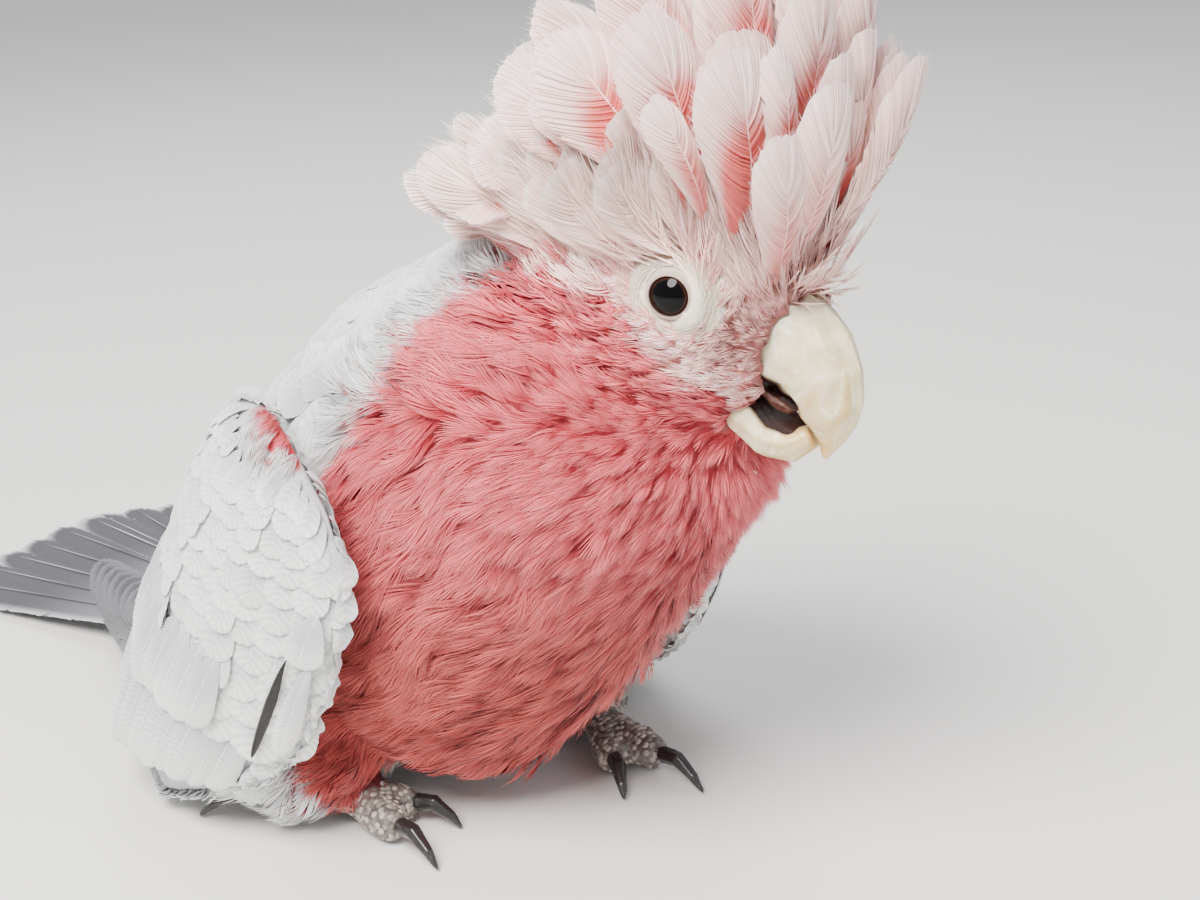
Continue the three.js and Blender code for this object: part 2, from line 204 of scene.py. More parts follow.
class Shader:
    def __init__(self, name):
        self.material = bpy.data.materials.new(name)
        self.material.use_nodes = True
        self.tree = self.material.node_tree
        self.tree.nodes.clear()

    def add(self, kind, settings=None, inputs=None, output=0):
        node = self.tree.nodes.new(kind)
        for name, value in (settings or {}).items():
            setattr(node, name, value)
        for name, value in (inputs or {}).items():
            if isinstance(value, Socket):
                self.tree.links.new(value.link, node.inputs[name])
            else:
                node.inputs[name].default_value = value
        return Socket(self, node.outputs[output]) if node.outputs else None

    def mix(self, share, first, second, way="MIX"):
        settings = {"data_type": "RGBA", "blend_type": way}
        return self.add("ShaderNodeMix", settings, {0: share, 6: first, 7: second}, 2)

    def fade(self, value, low, high):
        settings = {"interpolation_type": "SMOOTHSTEP"}
        return self.add("ShaderNodeMapRange", settings, {"Value": value, "From Min": low, "From Max": high})

    def attribute(self, name):
        return self.add("ShaderNodeAttribute", {"attribute_name": name}, output="Fac")

    def shaded(self, colour, shade):
        # a colour made darker or lighter by a value
        grey = self.add("ShaderNodeCombineColor", inputs={0: shade, 1: shade, 2: shade})
        return self.mix(1.0, colour, grey, "MULTIPLY")

    def noise(self, scale, detail):
        place = self.add("ShaderNodeTexCoord", output="Object")
        return self.add("ShaderNodeTexNoise", inputs={"Vector": place, "Scale": scale, "Detail": detail})

    def bump(self, height, distance, strength=1.0):
        inputs = {"Height": height, "Distance": distance, "Strength": strength}
        return self.add("ShaderNodeBump", inputs=inputs)

    def finish(self, **sockets):
        names = {"colour": "Base Color", "roughness": "Roughness", "normal": "Normal", "coat": "Coat Weight",
                 "sheen": "Sheen Weight", "sheenRoughness": "Sheen Roughness",
                 "specular": "Specular IOR Level", "coatRoughness": "Coat Roughness",
                 "glow": "Subsurface Weight", "glowScale": "Subsurface Scale"}
        inputs = {names[key]: value for key, value in sockets.items()}
        shader = self.add("ShaderNodeBsdfPrincipled", inputs=inputs)
        self.add("ShaderNodeOutputMaterial", inputs={"Surface": shader})
        return self.material


def paint(*shares):
    # a colour from red, green and blue as screens show them, 0 to 255
    linear = [((c / 255 + 0.055) / 1.055) ** 2.4 if c > 10 else c / 255 / 12.92 for c in shares]
    return (*linear, 1)


# Meshes from arrays.
def makeObject(name, points, faces, material):
    faces = np.asarray(faces, np.int32)
    mesh = bpy.data.meshes.new(name)
    mesh.vertices.add(len(points))
    mesh.vertices.foreach_set("co", np.asarray(points, np.float32).ravel())
    mesh.loops.add(faces.size)
    mesh.loops.foreach_set("vertex_index", faces.ravel())
    mesh.polygons.add(len(faces))
    mesh.polygons.foreach_set("loop_start", np.arange(len(faces), dtype=np.int32) * faces.shape[1])
    mesh.polygons.foreach_set("use_smooth", np.full(len(faces), True))
    mesh.update(calc_edges=True)
    mesh.materials.append(material)
    thing = bpy.data.objects.new(name, mesh)
    scene.collection.objects.link(thing)
    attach(thing, "root")
    return thing


def setValues(thing, name, values):
    attribute = thing.data.attributes.new(name, "FLOAT", "POINT")
    attribute.data.foreach_set("value", np.asarray(values, np.float32))


def setMap(thing, cornerMap):
    layer = thing.data.uv_layers.new(name="OFBake")
    layer.data.foreach_set("uv", np.asarray(cornerMap, np.float32).ravel())


def nodeShape(name, grow=0.0):
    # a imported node's points and triangles, with its points merged and moved out by `grow`
    work = bmesh.new()
    work.from_mesh(frame["nodes"][name].data)
    bmesh.ops.remove_doubles(work, verts=work.verts, dist=1e-6)
    bmesh.ops.triangulate(work, faces=work.faces)
    work.normal_update()
    points = np.array([v.co + v.normal * grow for v in work.verts])
    faces = np.array([[v.index for v in face.verts] for face in work.faces])
    work.free()
    return points, faces


def remeshed(points, faces, voxel):
    mesh = bpy.data.meshes.new("work")
    mesh.from_pydata(points.tolist(), [], faces.tolist())
    thing = bpy.data.objects.new("work", mesh)
    scene.collection.objects.link(thing)
    modifier = thing.modifiers.new("remesh", "REMESH")
    modifier.mode = "VOXEL"
    modifier.voxel_size = voxel
    made = thing.evaluated_get(bpy.context.evaluated_depsgraph_get()).to_mesh()
    newPoints = np.empty(len(made.vertices) * 3)
    made.vertices.foreach_get("co", newPoints)
    newFaces = np.empty(len(made.loops), np.int32)
    made.loops.foreach_get("vertex_index", newFaces)
    bpy.data.objects.remove(thing)
    bpy.data.meshes.remove(mesh)
    return newPoints.reshape(-1, 3), newFaces.reshape(-1, 4)


class Surface:
    # a mesh of quads that knows each point's neighbours
    def __init__(self, points, faces):
        self.points = points
        self.faces = faces
        self.findNeighbours()
        self.keepLargest()

    def findNeighbours(self):
        pairs = np.concatenate([self.faces[:, [k, (k + 1) % 4]] for k in range(4)])
        pairs = np.unique(np.concatenate([pairs, pairs[:, ::-1]]), axis=0)
        count = len(self.points)
        start = np.searchsorted(pairs[:, 0], np.arange(count))
        rank = np.arange(len(pairs)) - start[pairs[:, 0]]
        self.near = np.repeat(np.arange(count)[:, None], rank.max() + 1, 1)
        self.near[pairs[:, 0], rank] = pairs[:, 1]
        self.degree = np.bincount(pairs[:, 0], minlength=count)[:, None]
        self.spare = self.near.shape[1] - self.degree

    def keepLargest(self):
        label = np.arange(len(self.points))
        while True:
            lower = label[self.near].min(1)
            lower = lower[lower]
            if (lower == label).all():
                break
            label = lower
        names, sizes = np.unique(label, return_counts=True)
        keep = label == names[sizes.argmax()]
        if not keep.all():
            order = np.cumsum(keep) - 1
            self.faces = order[self.faces[keep[self.faces].all(1)]]
            self.points = self.points[keep]
            self.findNeighbours()

    def average(self, values):
        flat = values.reshape(len(values), -1)
        total = flat[self.near].sum(1) - flat * self.spare
        return (total / self.degree).reshape(values.shape)

    def smooth(self, values, rounds, share=0.5):
        for _ in range(rounds):
            values = blend(values, self.average(values), share)
        return values

    def relax(self, points, rounds, weight=1.0, inward=0.5, outward=-0.53):
        # smooths without shrinking
        for _ in range(rounds):
            points = points + weight * inward * (self.average(points) - points)
            points = points + weight * outward * (self.average(points) - points)
        return points

    def normals(self, points):
        corners = points[self.faces]
        facing = np.cross(corners[:, 2] - corners[:, 0], corners[:, 3] - corners[:, 1])
        total = np.zeros_like(points)
        for axis in range(3):
            for k in range(4):
                total[:, axis] += np.bincount(self.faces[:, k], facing[:, axis], len(points))
        return unit(total)


# The outline: the flesh nodes joined into one smooth surface.
flesh = {
    "nodes": ["head", "neck", "trunk", "leg_left", "leg_right", "wing_left", "wing_right",
              "foot_left", "foot_right"],
    "grow": 0.3 * mm,
    "voxel": 1.05 * mm,
    "relax": {"head": 14, "foot": 3, "other": 45},  # rounds of smoothing
}


def joinShapes(names, grow=0.0):
    # the nodes' points and faces in one list each, and which node each face is from
    points, faces, owner = [], [], []
    base = 0
    for number, name in enumerate(names):
        nodePoints, nodeFaces = nodeShape(name, grow)
        points.append(nodePoints)
        faces.append(nodeFaces + base)
        owner += [number] * len(nodeFaces)
        base += len(nodePoints)
    return np.concatenate(points), np.concatenate(faces), np.array(owner)


def treeOf(points, faces):
    return BVHTree.FromPolygons(points.tolist(), faces.tolist())


def nearest(tree, points):
    # for each point, the index of the nearest face and the distance to it
    index = np.empty(len(points), int)
    distance = np.empty(len(points))
    for k, point in enumerate(points.tolist()):
        _, _, index[k], distance[k] = tree.find_nearest(point)
    return index, distance


def castAll(tree, points, directions, reach):
    # for each point, how far its ray goes before it hits the tree, or `reach`
    found = np.full(len(points), reach)
    for k, (point, direction) in enumerate(zip(points.tolist(), directions.tolist())):
        hit = tree.ray_cast(Vector(point), Vector(direction), reach)
        if hit[0] is not None:
            found[k] = hit[3]
    return found


print("outline")
shapePoints, shapeFaces, shapeOwner = joinShapes(flesh["nodes"], flesh["grow"])
outline = Surface(*remeshed(shapePoints, shapeFaces, flesh["voxel"]))
ownerName = np.array(flesh["nodes"])[shapeOwner[nearest(treeOf(shapePoints, shapeFaces), outline.points)[0]]]
onHead = ownerName == "head"
onNeck = ownerName == "neck"
onFoot = np.char.startswith(ownerName, "foot")
onWing = np.char.startswith(ownerName, "wing")
onLeg = np.char.startswith(ownerName, "leg")
onTrunk = ownerName == "trunk"


def relaxedOutline():
    # smoothed a little on the feet, more on the head and most elsewhere
    rounds = flesh["relax"]
    offFeet = outline.smooth((~onFoot).astype(float), 4)[:, None]
    onBody = outline.smooth((~onFoot & ~onHead).astype(float), 8)[:, None]
    points = outline.relax(outline.points, rounds["foot"])
    points = outline.relax(points, rounds["head"], offFeet)
    return outline.relax(points, rounds["other"], onBody)


surface = relaxedOutline()
surfaceNormals = unit(outline.smooth(outline.normals(surface), 4))
print("  points", len(surface))


# How deep the coat is, how far each place lies from the bill, and the lie of the feathers, in mm.
coat = {
    "depth": {"head": 1.9, "neck": 3.6, "trunk": 4.6, "leg": 3.4, "wing": 1.7, "foot": 0.0},
    "mantleDepth": 2.6,
    "atBill": (0.6, 4), "atRing": (-1.5, 1.5),  # where it grows from nothing, by the bill and round an eye
    "thinnest": 0.3,  # the coat's largest share of the body's own thickness there
    "billSource": 3.0,  # the way from the bill is measured from places on the head this near it
    "roundEye": (15, 8),  # where they begin to part round an eye, and where they part wholly
    "hem": 0.3,  # how far the coat stays above the floor
}
headSpace = inHead(surface)
eyeRing = {
    "forward": 0.24, "upward": 0.06,  # how far an eye looks forward and up, for each step outward
    "reach": 4.9, "oval": 1.3, "tear": 1.7, "tearAngle": -36,
    "sunk": 0.9,  # how far the skin sinks under the lids, in thousandths of a mm
}


def eyeAxes(side):
    # an eye's outward, forward and upward directions
    out = unit(headTurn @ np.array([signs[side], -eyeRing["forward"], eyeRing["upward"]]))
    ahead = headTurn @ np.array([0, -1, 0])
    ahead = unit(ahead - out * (ahead @ out))
    up = np.cross(out, ahead)
    return out, ahead, up * np.sign(up[2])


def ringEdge(angle):
    # radius of the bare skin round an eye, in mm: it is drawn out towards the gape
    drawn = np.maximum(np.cos(angle - math.radians(eyeRing["tearAngle"])), 0) ** 3
    return eyeRing["reach"] + eyeRing["oval"] * np.cos(angle) ** 2 + eyeRing["tear"] * drawn


def outsideRing(points):
    # how far each point lies outside the nearer eye's bare skin, in mm
    margins = []
    for side in eyes:
        out, ahead, up = eyeAxes(side)
        offset = (points - eyes[side]) / mm
        x, y = offset @ ahead, offset @ up
        margins.append(np.where(offset @ out > -4, np.hypot(x, y) - ringEdge(np.arctan2(y, x)), 50))
    return np.min(margins, axis=0)


billTree = treeOf(*joinShapes(["bill_upper", "bill_lower"])[:2])
billDistance = nearest(billTree, surface)[1] / mm
ringMargin = outsideRing(surface)


def awayFromBill():
    # the shortest way over the surface from the bill, in mm
    steps = np.linalg.norm(surface[outline.near] - surface[:, None], axis=2) / mm
    away = np.where((billDistance < coat["billSource"]) & onHead, billDistance, 1e6)
    while True:
        closer = np.minimum(away, (away[outline.near] + steps).min(1))
        if np.allclose(closer, away):
            return outline.smooth(closer, 40)
        away = closer


def uphill(field):
    # the direction in which a field grows fastest, along the surface
    legs = surface[outline.near] - surface[:, None]
    length = np.maximum((legs**2).sum(2, keepdims=True), 1e-12)
    rise = (field[outline.near] - field[:, None])[:, :, None]
    return (legs * rise / length).sum(1)


def flat(vectors):
    # the part of each vector that lies along the surface
    return vectors - (vectors * surfaceNormals).sum(1, keepdims=True) * surfaceNormals


# Where the markings end, in mm: the mantle's from the middle of the head along the scene's axes, the vent's
# and the low breast's in the scene itself, and the others in the head's own frame.
mantleEdge = {
    "shoulder": -16, "flank": -29,  # the heights at which the border bends
    "behind": 41,  # how far behind the head it runs between them
    "above": 0.92, "below": 1.1,  # how it slopes forward above and back below
    "soft": 2.2,
}
ventEdge = {"front": -46, "soft": 5, "height": (24, 18)}  # where the pale down round the vent starts
paleEdge = {
    "back": (-30, -22, -16, -9, -6, -2, 2, 9, 19, 31), "height": (-12, -11, -10, -7, -4, 0.5, 2.5, 1, -1, -4),
    "end": (32, 24), "soft": 2.5,
}
crownEdge = {"back": (-18, -13, 2, 28), "height": (6.5, 8, 3, -3), "soft": (-3, 4)}
lowRoseAndShade = (88, 36)  # the heights between which the breast darkens downwards: partly its own deeper rose, partly painted shade under the light from above
duskyFace = {"away": (15, 9), "height": (-6, -2)}  # how far the dusky mottling reaches from the bill


def mantleShare(points):
    # 1 where the plumage is the grey of the back, wings and vent, 0 where it is rose
    place = (points - headPlace) / mm
    above = np.maximum(place[:, 2] - mantleEdge["shoulder"], 0)
    below = np.maximum(mantleEdge["flank"] - place[:, 2], 0)
    border = mantleEdge["behind"] - mantleEdge["above"] * above + mantleEdge["below"] * below
    upper = fade(place[:, 1] - border, -mantleEdge["soft"], mantleEdge["soft"])
    front = points[:, 1] / mm - ventEdge["front"]
    vent = fade(front, 0, ventEdge["soft"]) * fade(points[:, 2] / mm, *ventEdge["height"])
    return np.maximum(upper, vent)


wing = {
    "top": 0.25, "bottom": 0.85,  # where its middle line starts and ends, as shares of its box's depth
    "rose": 2.6, "roseFront": 9,  # how far down, in mm, a rose band reaches at the top and in front
    "roseWide": (-29, -25),  # the rose front edge, in mm across the wing
}


def wingLine(side):
    # the start of a wing's middle line, its direction, and the direction across it towards the back
    low, high = (np.array(corner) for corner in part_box("wing_" + side))
    start = np.array([(low[0] + high[0]) / 2, blend(low[1], high[1], wing["top"]), high[2]])
    end = np.array([start[0], blend(low[1], high[1], wing["bottom"]), low[2]])
    ahead = unit(end - start)
    return start, ahead, np.array([0, -ahead[2], ahead[1]])


def wingShare(points):
    # the wings are grey but for a rose band round the top and down the upper part of the front edge
    share = np.ones(len(points))
    for side, sign in (("left", 1), ("right", -1)):
        start, ahead, across = wingLine(side)
        down = (points - start) @ ahead / mm
        back = (points - start) @ across / mm
        edge = fade(down, wing["rose"] - 2, wing["rose"] + 2)
        front = fade(back, *wing["roseWide"]) + fade(down, wing["roseFront"], wing["roseFront"] + 8)
        near = points[:, 0] * sign > 0
        share = np.where(near, edge * np.minimum(front, 1), share)
    return share


def paleShare(place):
    # 1 on the pinkish-white crown, forehead and lores, 0 on the rose cheeks, throat and neck
    edge = np.interp(place[:, 1], paleEdge["back"], paleEdge["height"])
    return fade(place[:, 2] - edge, -paleEdge["soft"], paleEdge["soft"]) * fade(place[:, 1], *paleEdge["end"])


def crownShare(place):
    # 1 where plumes rise into the crest, 0 on the rest of the head
    low, high = crownEdge["soft"]
    edge = np.interp(place[:, 1], crownEdge["back"], crownEdge["height"])
    return onHead * fade(place[:, 2], edge + low, edge + high)


def lieOfCoat():
    # feathers lie away from the bill, and part round the eyes
    lie = outline.smooth(uphill(away), 30)
    for side in eyes:
        near = fade(np.linalg.norm(surface - eyes[side], axis=1) / mm, *coat["roundEye"])[:, None]
        ray = unit(flat(surface - eyes[side]))
        lie = unit(lie)
        inward = np.minimum((lie * ray).sum(1, keepdims=True), 0)
        lie = lie - near * inward * ray
    return unit(flat(lie))


def coatDepth():
    # how far the skin lies under the outline
    deep = np.zeros(len(surface))
    for name, value in coat["depth"].items():
        deep[np.char.startswith(ownerName, name)] = value
    deep = np.where(onTrunk | onNeck, blend(deep, coat["mantleDepth"], marks["grey"]), deep)
    deep = outline.smooth(deep, 30)
    deep[onFoot] = 0
    deep = outline.smooth(deep, 3)
    deep *= fade(ringMargin, *coat["atRing"]) * fade(billDistance, *coat["atBill"])
    deep += eyeRing["sunk"] * mm * fade(ringMargin, 0.5, -1)
    inside = surface - surfaceNormals * 0.3 * mm
    room = castAll(skinTree, inside, -surfaceNormals, 20 * mm) / mm
    return outline.smooth(np.minimum(deep, room * coat["thinnest"]), 4) * mm


print("flow")
away = awayFromBill()
flow = lieOfCoat()
marks = {
    "grey": outline.smooth(np.where(onWing, wingShare(surface), mantleShare(surface)), 2),
    "pale": paleShare(headSpace),
    # low: darker rose towards the bottom, partly painted shade
    "low": (onTrunk | onNeck | onLeg) * fade(surface[:, 2] / mm, *lowRoseAndShade),
    "dusky": onHead * fade(away, *duskyFace["away"]) * fade(headSpace[:, 2], *duskyFace["height"]),
    "crown": crownShare(headSpace),
}
skinTree = treeOf(surface, outline.faces)
depth = coatDepth()
skinPoints = outline.smooth(surface - surfaceNormals * depth[:, None], 2)
finder = KDTree(len(surface))
for index, point in enumerate(surface.tolist()):
    finder.insert(point, index)
finder.balance()


def closest(points):
    return np.array([finder.find(point)[1] for point in points.tolist()])


# An unwrap of the skin's own shape, which gives every tuft its place on the map named OFBake.
unwrap = {"voxel": 4.5 * mm, "angle": 66, "margin": 0.012, "patch": 0.003}


def unwrapSkin():
    points, faces = remeshed(skinPoints, outline.faces, unwrap["voxel"])
    mesh = bpy.data.meshes.new("unwrap")
    mesh.from_pydata(points.tolist(), [], faces.tolist())
    thing = bpy.data.objects.new("unwrap", mesh)
    scene.collection.objects.link(thing)
    bpy.context.view_layer.objects.active = thing
    thing.select_set(True)
    bpy.ops.object.mode_set(mode="EDIT")
    bpy.ops.mesh.select_all(action="SELECT")
    bpy.ops.mesh.quads_convert_to_tris()
    bpy.ops.uv.smart_project(angle_limit=math.radians(unwrap["angle"]), island_margin=unwrap["margin"])
    bpy.ops.object.mode_set(mode="OBJECT")
    corners = np.empty(len(mesh.loops), np.int32)
    mesh.loops.foreach_get("vertex_index", corners)
    places = np.empty(len(mesh.loops) * 2)
    mesh.uv_layers.active.data.foreach_get("uv", places)
    bpy.data.objects.remove(thing)
    return points[corners.reshape(-1, 3)], places.reshape(-1, 3, 2)


print("unwrap")
patchCorners, patchPlaces = unwrapSkin()
patchTree = treeOf(patchCorners.reshape(-1, 3), np.arange(len(patchCorners) * 3).reshape(-1, 3))


def mapPlace(points, patch):
    # where each point lies on the map, from the corners of the patch that it is nearest to
    a, b, c = (patchCorners[patch][:, k] for k in range(3))
    first, second, reach = b - a, c - a, points - a
    size = np.maximum(dot(first, first) * dot(second, second) - dot(first, second) ** 2, 1e-18)
    u = (dot(second, second) * dot(reach, first) - dot(first, second) * dot(reach, second)) / size
    v = (dot(first, first) * dot(reach, second) - dot(first, second) * dot(reach, first)) / size
    p, q, r = (patchPlaces[patch][:, k] for k in range(3))
    return p + u[:, None] * (q - p) + v[:, None] * (r - p)


# Feathers. A shape is made once in a few variants, then laid along every feather's own line.
def barbLine(look, u, side, random):
    # one barb, from the shaft to the feather's edge; u is 0 at the feather's foot and 1 at its tip
    ratio = look["width"] / 2 / look["length"]
    broad = look["broad"]  # where the feather is broadest, as a share of its length
    if u < look["straight"]:
        share = u / look["straight"]
        top = blend(look["start"] + look["slant"], broad, share)
        wide = blend(look["foot"], 1, math.sin(share * math.pi / 2))
    else:
        angle = (u - look["straight"]) / (1 - look["straight"]) * math.pi / 2
        top = broad + (1 - broad) * math.sin(angle)
        wide = max(math.cos(angle), 0) ** look.get("blunt", 1)
    low = max(top - look["slant"] * (1 - 0.35 * u), look["start"] * 0.6)
    top += random.normal(0, look["loose"] * 0.6)
    wide = max(wide + random.normal(0, look["loose"]) * (u < 1), 0) * side
    root = np.array([0, low, 0])
    tip = np.array([wide * ratio, top, random.normal(0, look["loose"] * 0.25) - look["camber"] * wide**2])
    bend = np.array([wide * ratio * look["bow"], blend(low, top, 0.3), look["puff"]])
    t = np.linspace(0, 1, look["steps"] + 1)[:, None]
    return (1 - t) ** 2 * root + 2 * t * (1 - t) * bend + t**2 * tip


def ribbon(line, width, lean, tone):
    # a flat strip along a line that narrows to a point, leaning out of the feather's face
    ahead = unit(np.gradient(line, axis=0))
    side = np.stack([ahead[:, 1], -ahead[:, 0], np.full(len(line), lean)], axis=1)
    half = side * np.linspace(1, 0.45, len(line))[:, None] * width / 2
    points = np.concatenate([line - half, line[:-1] + half[:-1]])
    n = len(line)
    faces = [(n - 2, 2 * n - 2, n - 1)]
    for k in range(n - 2):
        faces += [(k, n + k, n + k + 1), (k, n + k + 1, k + 1)]
    share = np.linspace(0, 1, n)
    return points, faces, np.concatenate([share, share[:-1]]), np.full(2 * n - 1, tone)


def closedVane(lines, ridge):
    # one surface through neighbouring barbs, with every other barb raised a little
    rows, n = len(lines), lines[0].shape[0]
    points = np.concatenate(lines)
    raised = np.repeat(np.arange(rows) % 2, n)
    points[:, 2] += ridge * raised
    faces = []
    for k in range(rows - 1):
        for j in range(n - 1):
            a = k * n + j
            faces += [(a, a + 1, a + n + 1), (a, a + n + 1, a + n)]
    return points, faces, np.tile(np.linspace(0, 1, n), rows), raised.astype(float)


def featherShape(look, random):
    # a shaft with barbs on both sides: `across` in half widths, `along` and `rise` in lengths
    parts = []
    clumps = look.get("clumps", 0)
    for side in (-1, 1):
        count = look["barbs"]
        jitter = 0.08 if look.get("closed") else 0.35
        spots = (np.arange(count) + 0.5 + random.uniform(-jitter, jitter, count)) / count
        spots = np.append(spots, 1)
        lines = [barbLine(look, min(spot, 1), side, random) for spot in spots]
        if look.get("closed"):
            parts.append(closedVane(lines, look["ridge"] / look["length"]))
            if side > 0:
                parts[-1] = (parts[-1][0], [face[::-1] for face in parts[-1][1]], *parts[-1][2:])
            continue
        if clumps:
            groups = np.sort(random.integers(0, clumps, count))
            for group in range(clumps):
                members = np.flatnonzero(groups == group)
                if len(members):
                    tip = np.mean([lines[k][-1] for k in members], axis=0)
                    for k in members:
                        pull = np.linspace(0, 1, len(lines[k]))[:, None] ** 2 * look["clumping"]
                        lines[k] = lines[k] + pull * (tip - lines[k][-1])
        if look.get("backing"):
            # a closed vane just behind the barbs, so that nothing shows between them
            behind = [np.vstack([line[:-1], blend(line[-2], line[-1], 0.6)]) for line in lines[::2]]
            behind = [line - (0, 0, look["backing"] / look["length"]) for line in behind]
            parts.append(closedVane(behind, 0))
            if side > 0:
                parts[-1] = (parts[-1][0], [face[::-1] for face in parts[-1][1]], *parts[-1][2:])
        width = look["barbWidth"] / look["length"]
        parts += [ribbon(line, width, random.normal(0, look["lean"]), random.uniform()) for line in lines]
    if look["shaft"]:
        rise = np.full(6, look.get("shaftRise", 0.004))
        line = np.stack([np.zeros(6), np.linspace(0, 0.95, 6), rise], axis=1)
        parts.append(ribbon(line, look["shaft"] / look["length"], 0, 2.0))
    points = np.concatenate([part[0] for part in parts])
    starts = np.cumsum([0] + [len(part[0]) for part in parts[:-1]])
    faces = np.concatenate([np.array(part[1]) + start for part, start in zip(parts, starts)])
    points[:, 0] /= look["width"] / 2 / look["length"]
    tips, tones = (np.concatenate([part[k] for part in parts]) for k in (2, 3))
    return points, faces, tips, tones


class Feathers:
    # centre lines of many feathers, with the way out of the body at each of their points
    def __init__(self, lines, normals, lengths, widths, tones):
        self.lines = lines
        self.normals = normals
        self.lengths = lengths
        self.widths = widths
        self.tones = tones  # name -> a value at the root and one at the tip, for each feather
        ahead = unit(np.gradient(lines, axis=1))
        self.sides = unit(np.cross(ahead, normals))
        self.normals = np.cross(self.sides, ahead)

    def part(self, rows):
        tones = {name: values[rows] for name, values in self.tones.items()}
        return Feathers(self.lines[rows], self.normals[rows], self.lengths[rows], self.widths[rows], tones)


def evenTones(count, **values):
    # the same value over every one of so many feathers
    return {name: np.full((count, 2), float(value)) for name, value in values.items()}


def layFeathers(name, feathers, look, material, random, patch=None):
    # one mesh of feathers, cut into pieces of no more than a set number of triangles each
    shapes = [featherShape(look, random) for _ in range(look["variants"])]
    count = len(feathers.lines)
    perFeather = max(len(shape[1]) for shape in shapes)
    pieces = math.ceil(count * perFeather / look.get("limit", 190000))
    order = np.argsort(feathers.lines[:, 0, 0] + feathers.lines[:, 0, 1] * 0.3)
    total = 0
    for number, rows in enumerate(np.array_split(order, pieces)):
        label = name if pieces == 1 else f"{name}_{number + 1}"
        total += layPiece(label, feathers.part(rows), shapes, look, material, random, patch)
    print(f"  {name}: {count} feathers, {total} triangles, {pieces} pieces")


def layPiece(name, feathers, shapes, look, material, random, patch):
    count = len(feathers.lines)
    chosen = random.integers(len(shapes), size=count)
    roll = random.normal(0, look["roll"], count)
    flip = random.choice([-1, 1], count)
    chance = random.uniform(0, 1, count)
    roots = feathers.lines[:, 0]
    patches = nearest(patchTree, roots)[0]
    homes = mapPlace(roots, patches)
    allPoints, allFaces, allMap = [], [], []
    values = {key: [] for key in [*feathers.tones, "along", "tip", "chance", "barb"]}
    base = 0
    keys = feathers.lines.shape[1] - 1
    for variant, (shape, faces, tips, tones) in enumerate(shapes):
        rows = np.flatnonzero(chosen == variant)
        if not len(rows):
            continue
        along = np.clip(shape[:, 1], 0, 1.15)
        step = np.clip((along * keys).astype(int), 0, keys - 1)
        share = (along * keys - step)[:, None]
        centre = blend(feathers.lines[rows][:, step], feathers.lines[rows][:, step + 1], share)
        side = blend(feathers.sides[rows][:, step], feathers.sides[rows][:, step + 1], share)
        up = blend(feathers.normals[rows][:, step], feathers.normals[rows][:, step + 1], share)
        lean = (roll[rows][:, None] + np.zeros(len(shape)))[:, :, None]
        across = (shape[:, 0] * flip[rows][:, None] * feathers.widths[rows][:, None] / 2)[:, :, None]
        rise = (shape[:, 2] * feathers.lengths[rows][:, None])[:, :, None]
        points = centre + across * (side * np.cos(lean) + up * np.sin(lean)) + rise * up
        allPoints.append(points.reshape(-1, 3))
        turned = np.where(flip[rows][:, None, None] > 0, faces, faces[:, ::-1])
        allFaces.append((turned + base + np.arange(len(rows))[:, None, None] * len(shape)).reshape(-1, 3))
        base += len(rows) * len(shape)
        spread = np.ones((len(rows), 1))
        for key, pair in feathers.tones.items():
            toned = blend(pair[rows][:, :1], pair[rows][:, 1:], np.clip(shape[:, 1], 0, 1))
            values[key].append(toned.ravel())
        values["along"].append((spread * shape[:, 1]).ravel())
        values["tip"].append((spread * tips).ravel())
        values["barb"].append((spread * tones).ravel())
        values["chance"].append((chance[rows][:, None] * np.ones(len(shape))).ravel())
        if patch is None:
            offset = np.stack([shape[:, 0] * 0.5, shape[:, 1] - 0.5], axis=1) * unwrap["patch"]
            place = homes[rows][:, None] + offset
        else:
            place = patch(rows, shape)
        allMap.append(np.clip(place, 0, 1).reshape(-1, 2))
    points = np.concatenate(allPoints)
    points[:, 2] = np.maximum(points[:, 2], coat["hem"] * mm)
    faces = np.concatenate(allFaces)
    thing = makeObject(name, points, faces, material)
    for key, parts in values.items():
        setValues(thing, key, np.concatenate(parts))
    setMap(thing, np.concatenate(allMap)[faces.ravel()])
    return len(faces)


def scatter(candidates, spacing, random):
    # picks points that are no closer together than the spacing at them
    chosen = []
    free = np.zeros(len(surface), bool)
    free[candidates] = True
    for index in random.permutation(candidates).tolist():
        if free[index]:
            chosen.append(index)
            for _, other, _ in finder.find_range(surface[index].tolist(), spacing[index] * mm):
                free[other] = False
    return np.array(chosen)


def trace(roots, lengths, steps, angle, heading):
    # follows the lie of the coat over the outline from each root, and notes the points passed
    angle = angle[:, None]
    position = roots
    passed, normals, places = [], [], []
    for _ in range(steps + 1):
        index = closest(position)
        normal = surfaceNormals[index]
        position = position - ((position - surface[index]) * normal).sum(1, keepdims=True) * normal
        places.append(position)
        normals.append(normal)
        passed.append(index)
        ahead = heading[index]
        ahead = ahead * np.cos(angle) + np.cross(normal, ahead) * np.sin(angle)
        position = position + unit(ahead) * (lengths / steps)[:, None]
    return np.stack(places, 1), np.stack(normals, 1), np.stack(passed, 1)


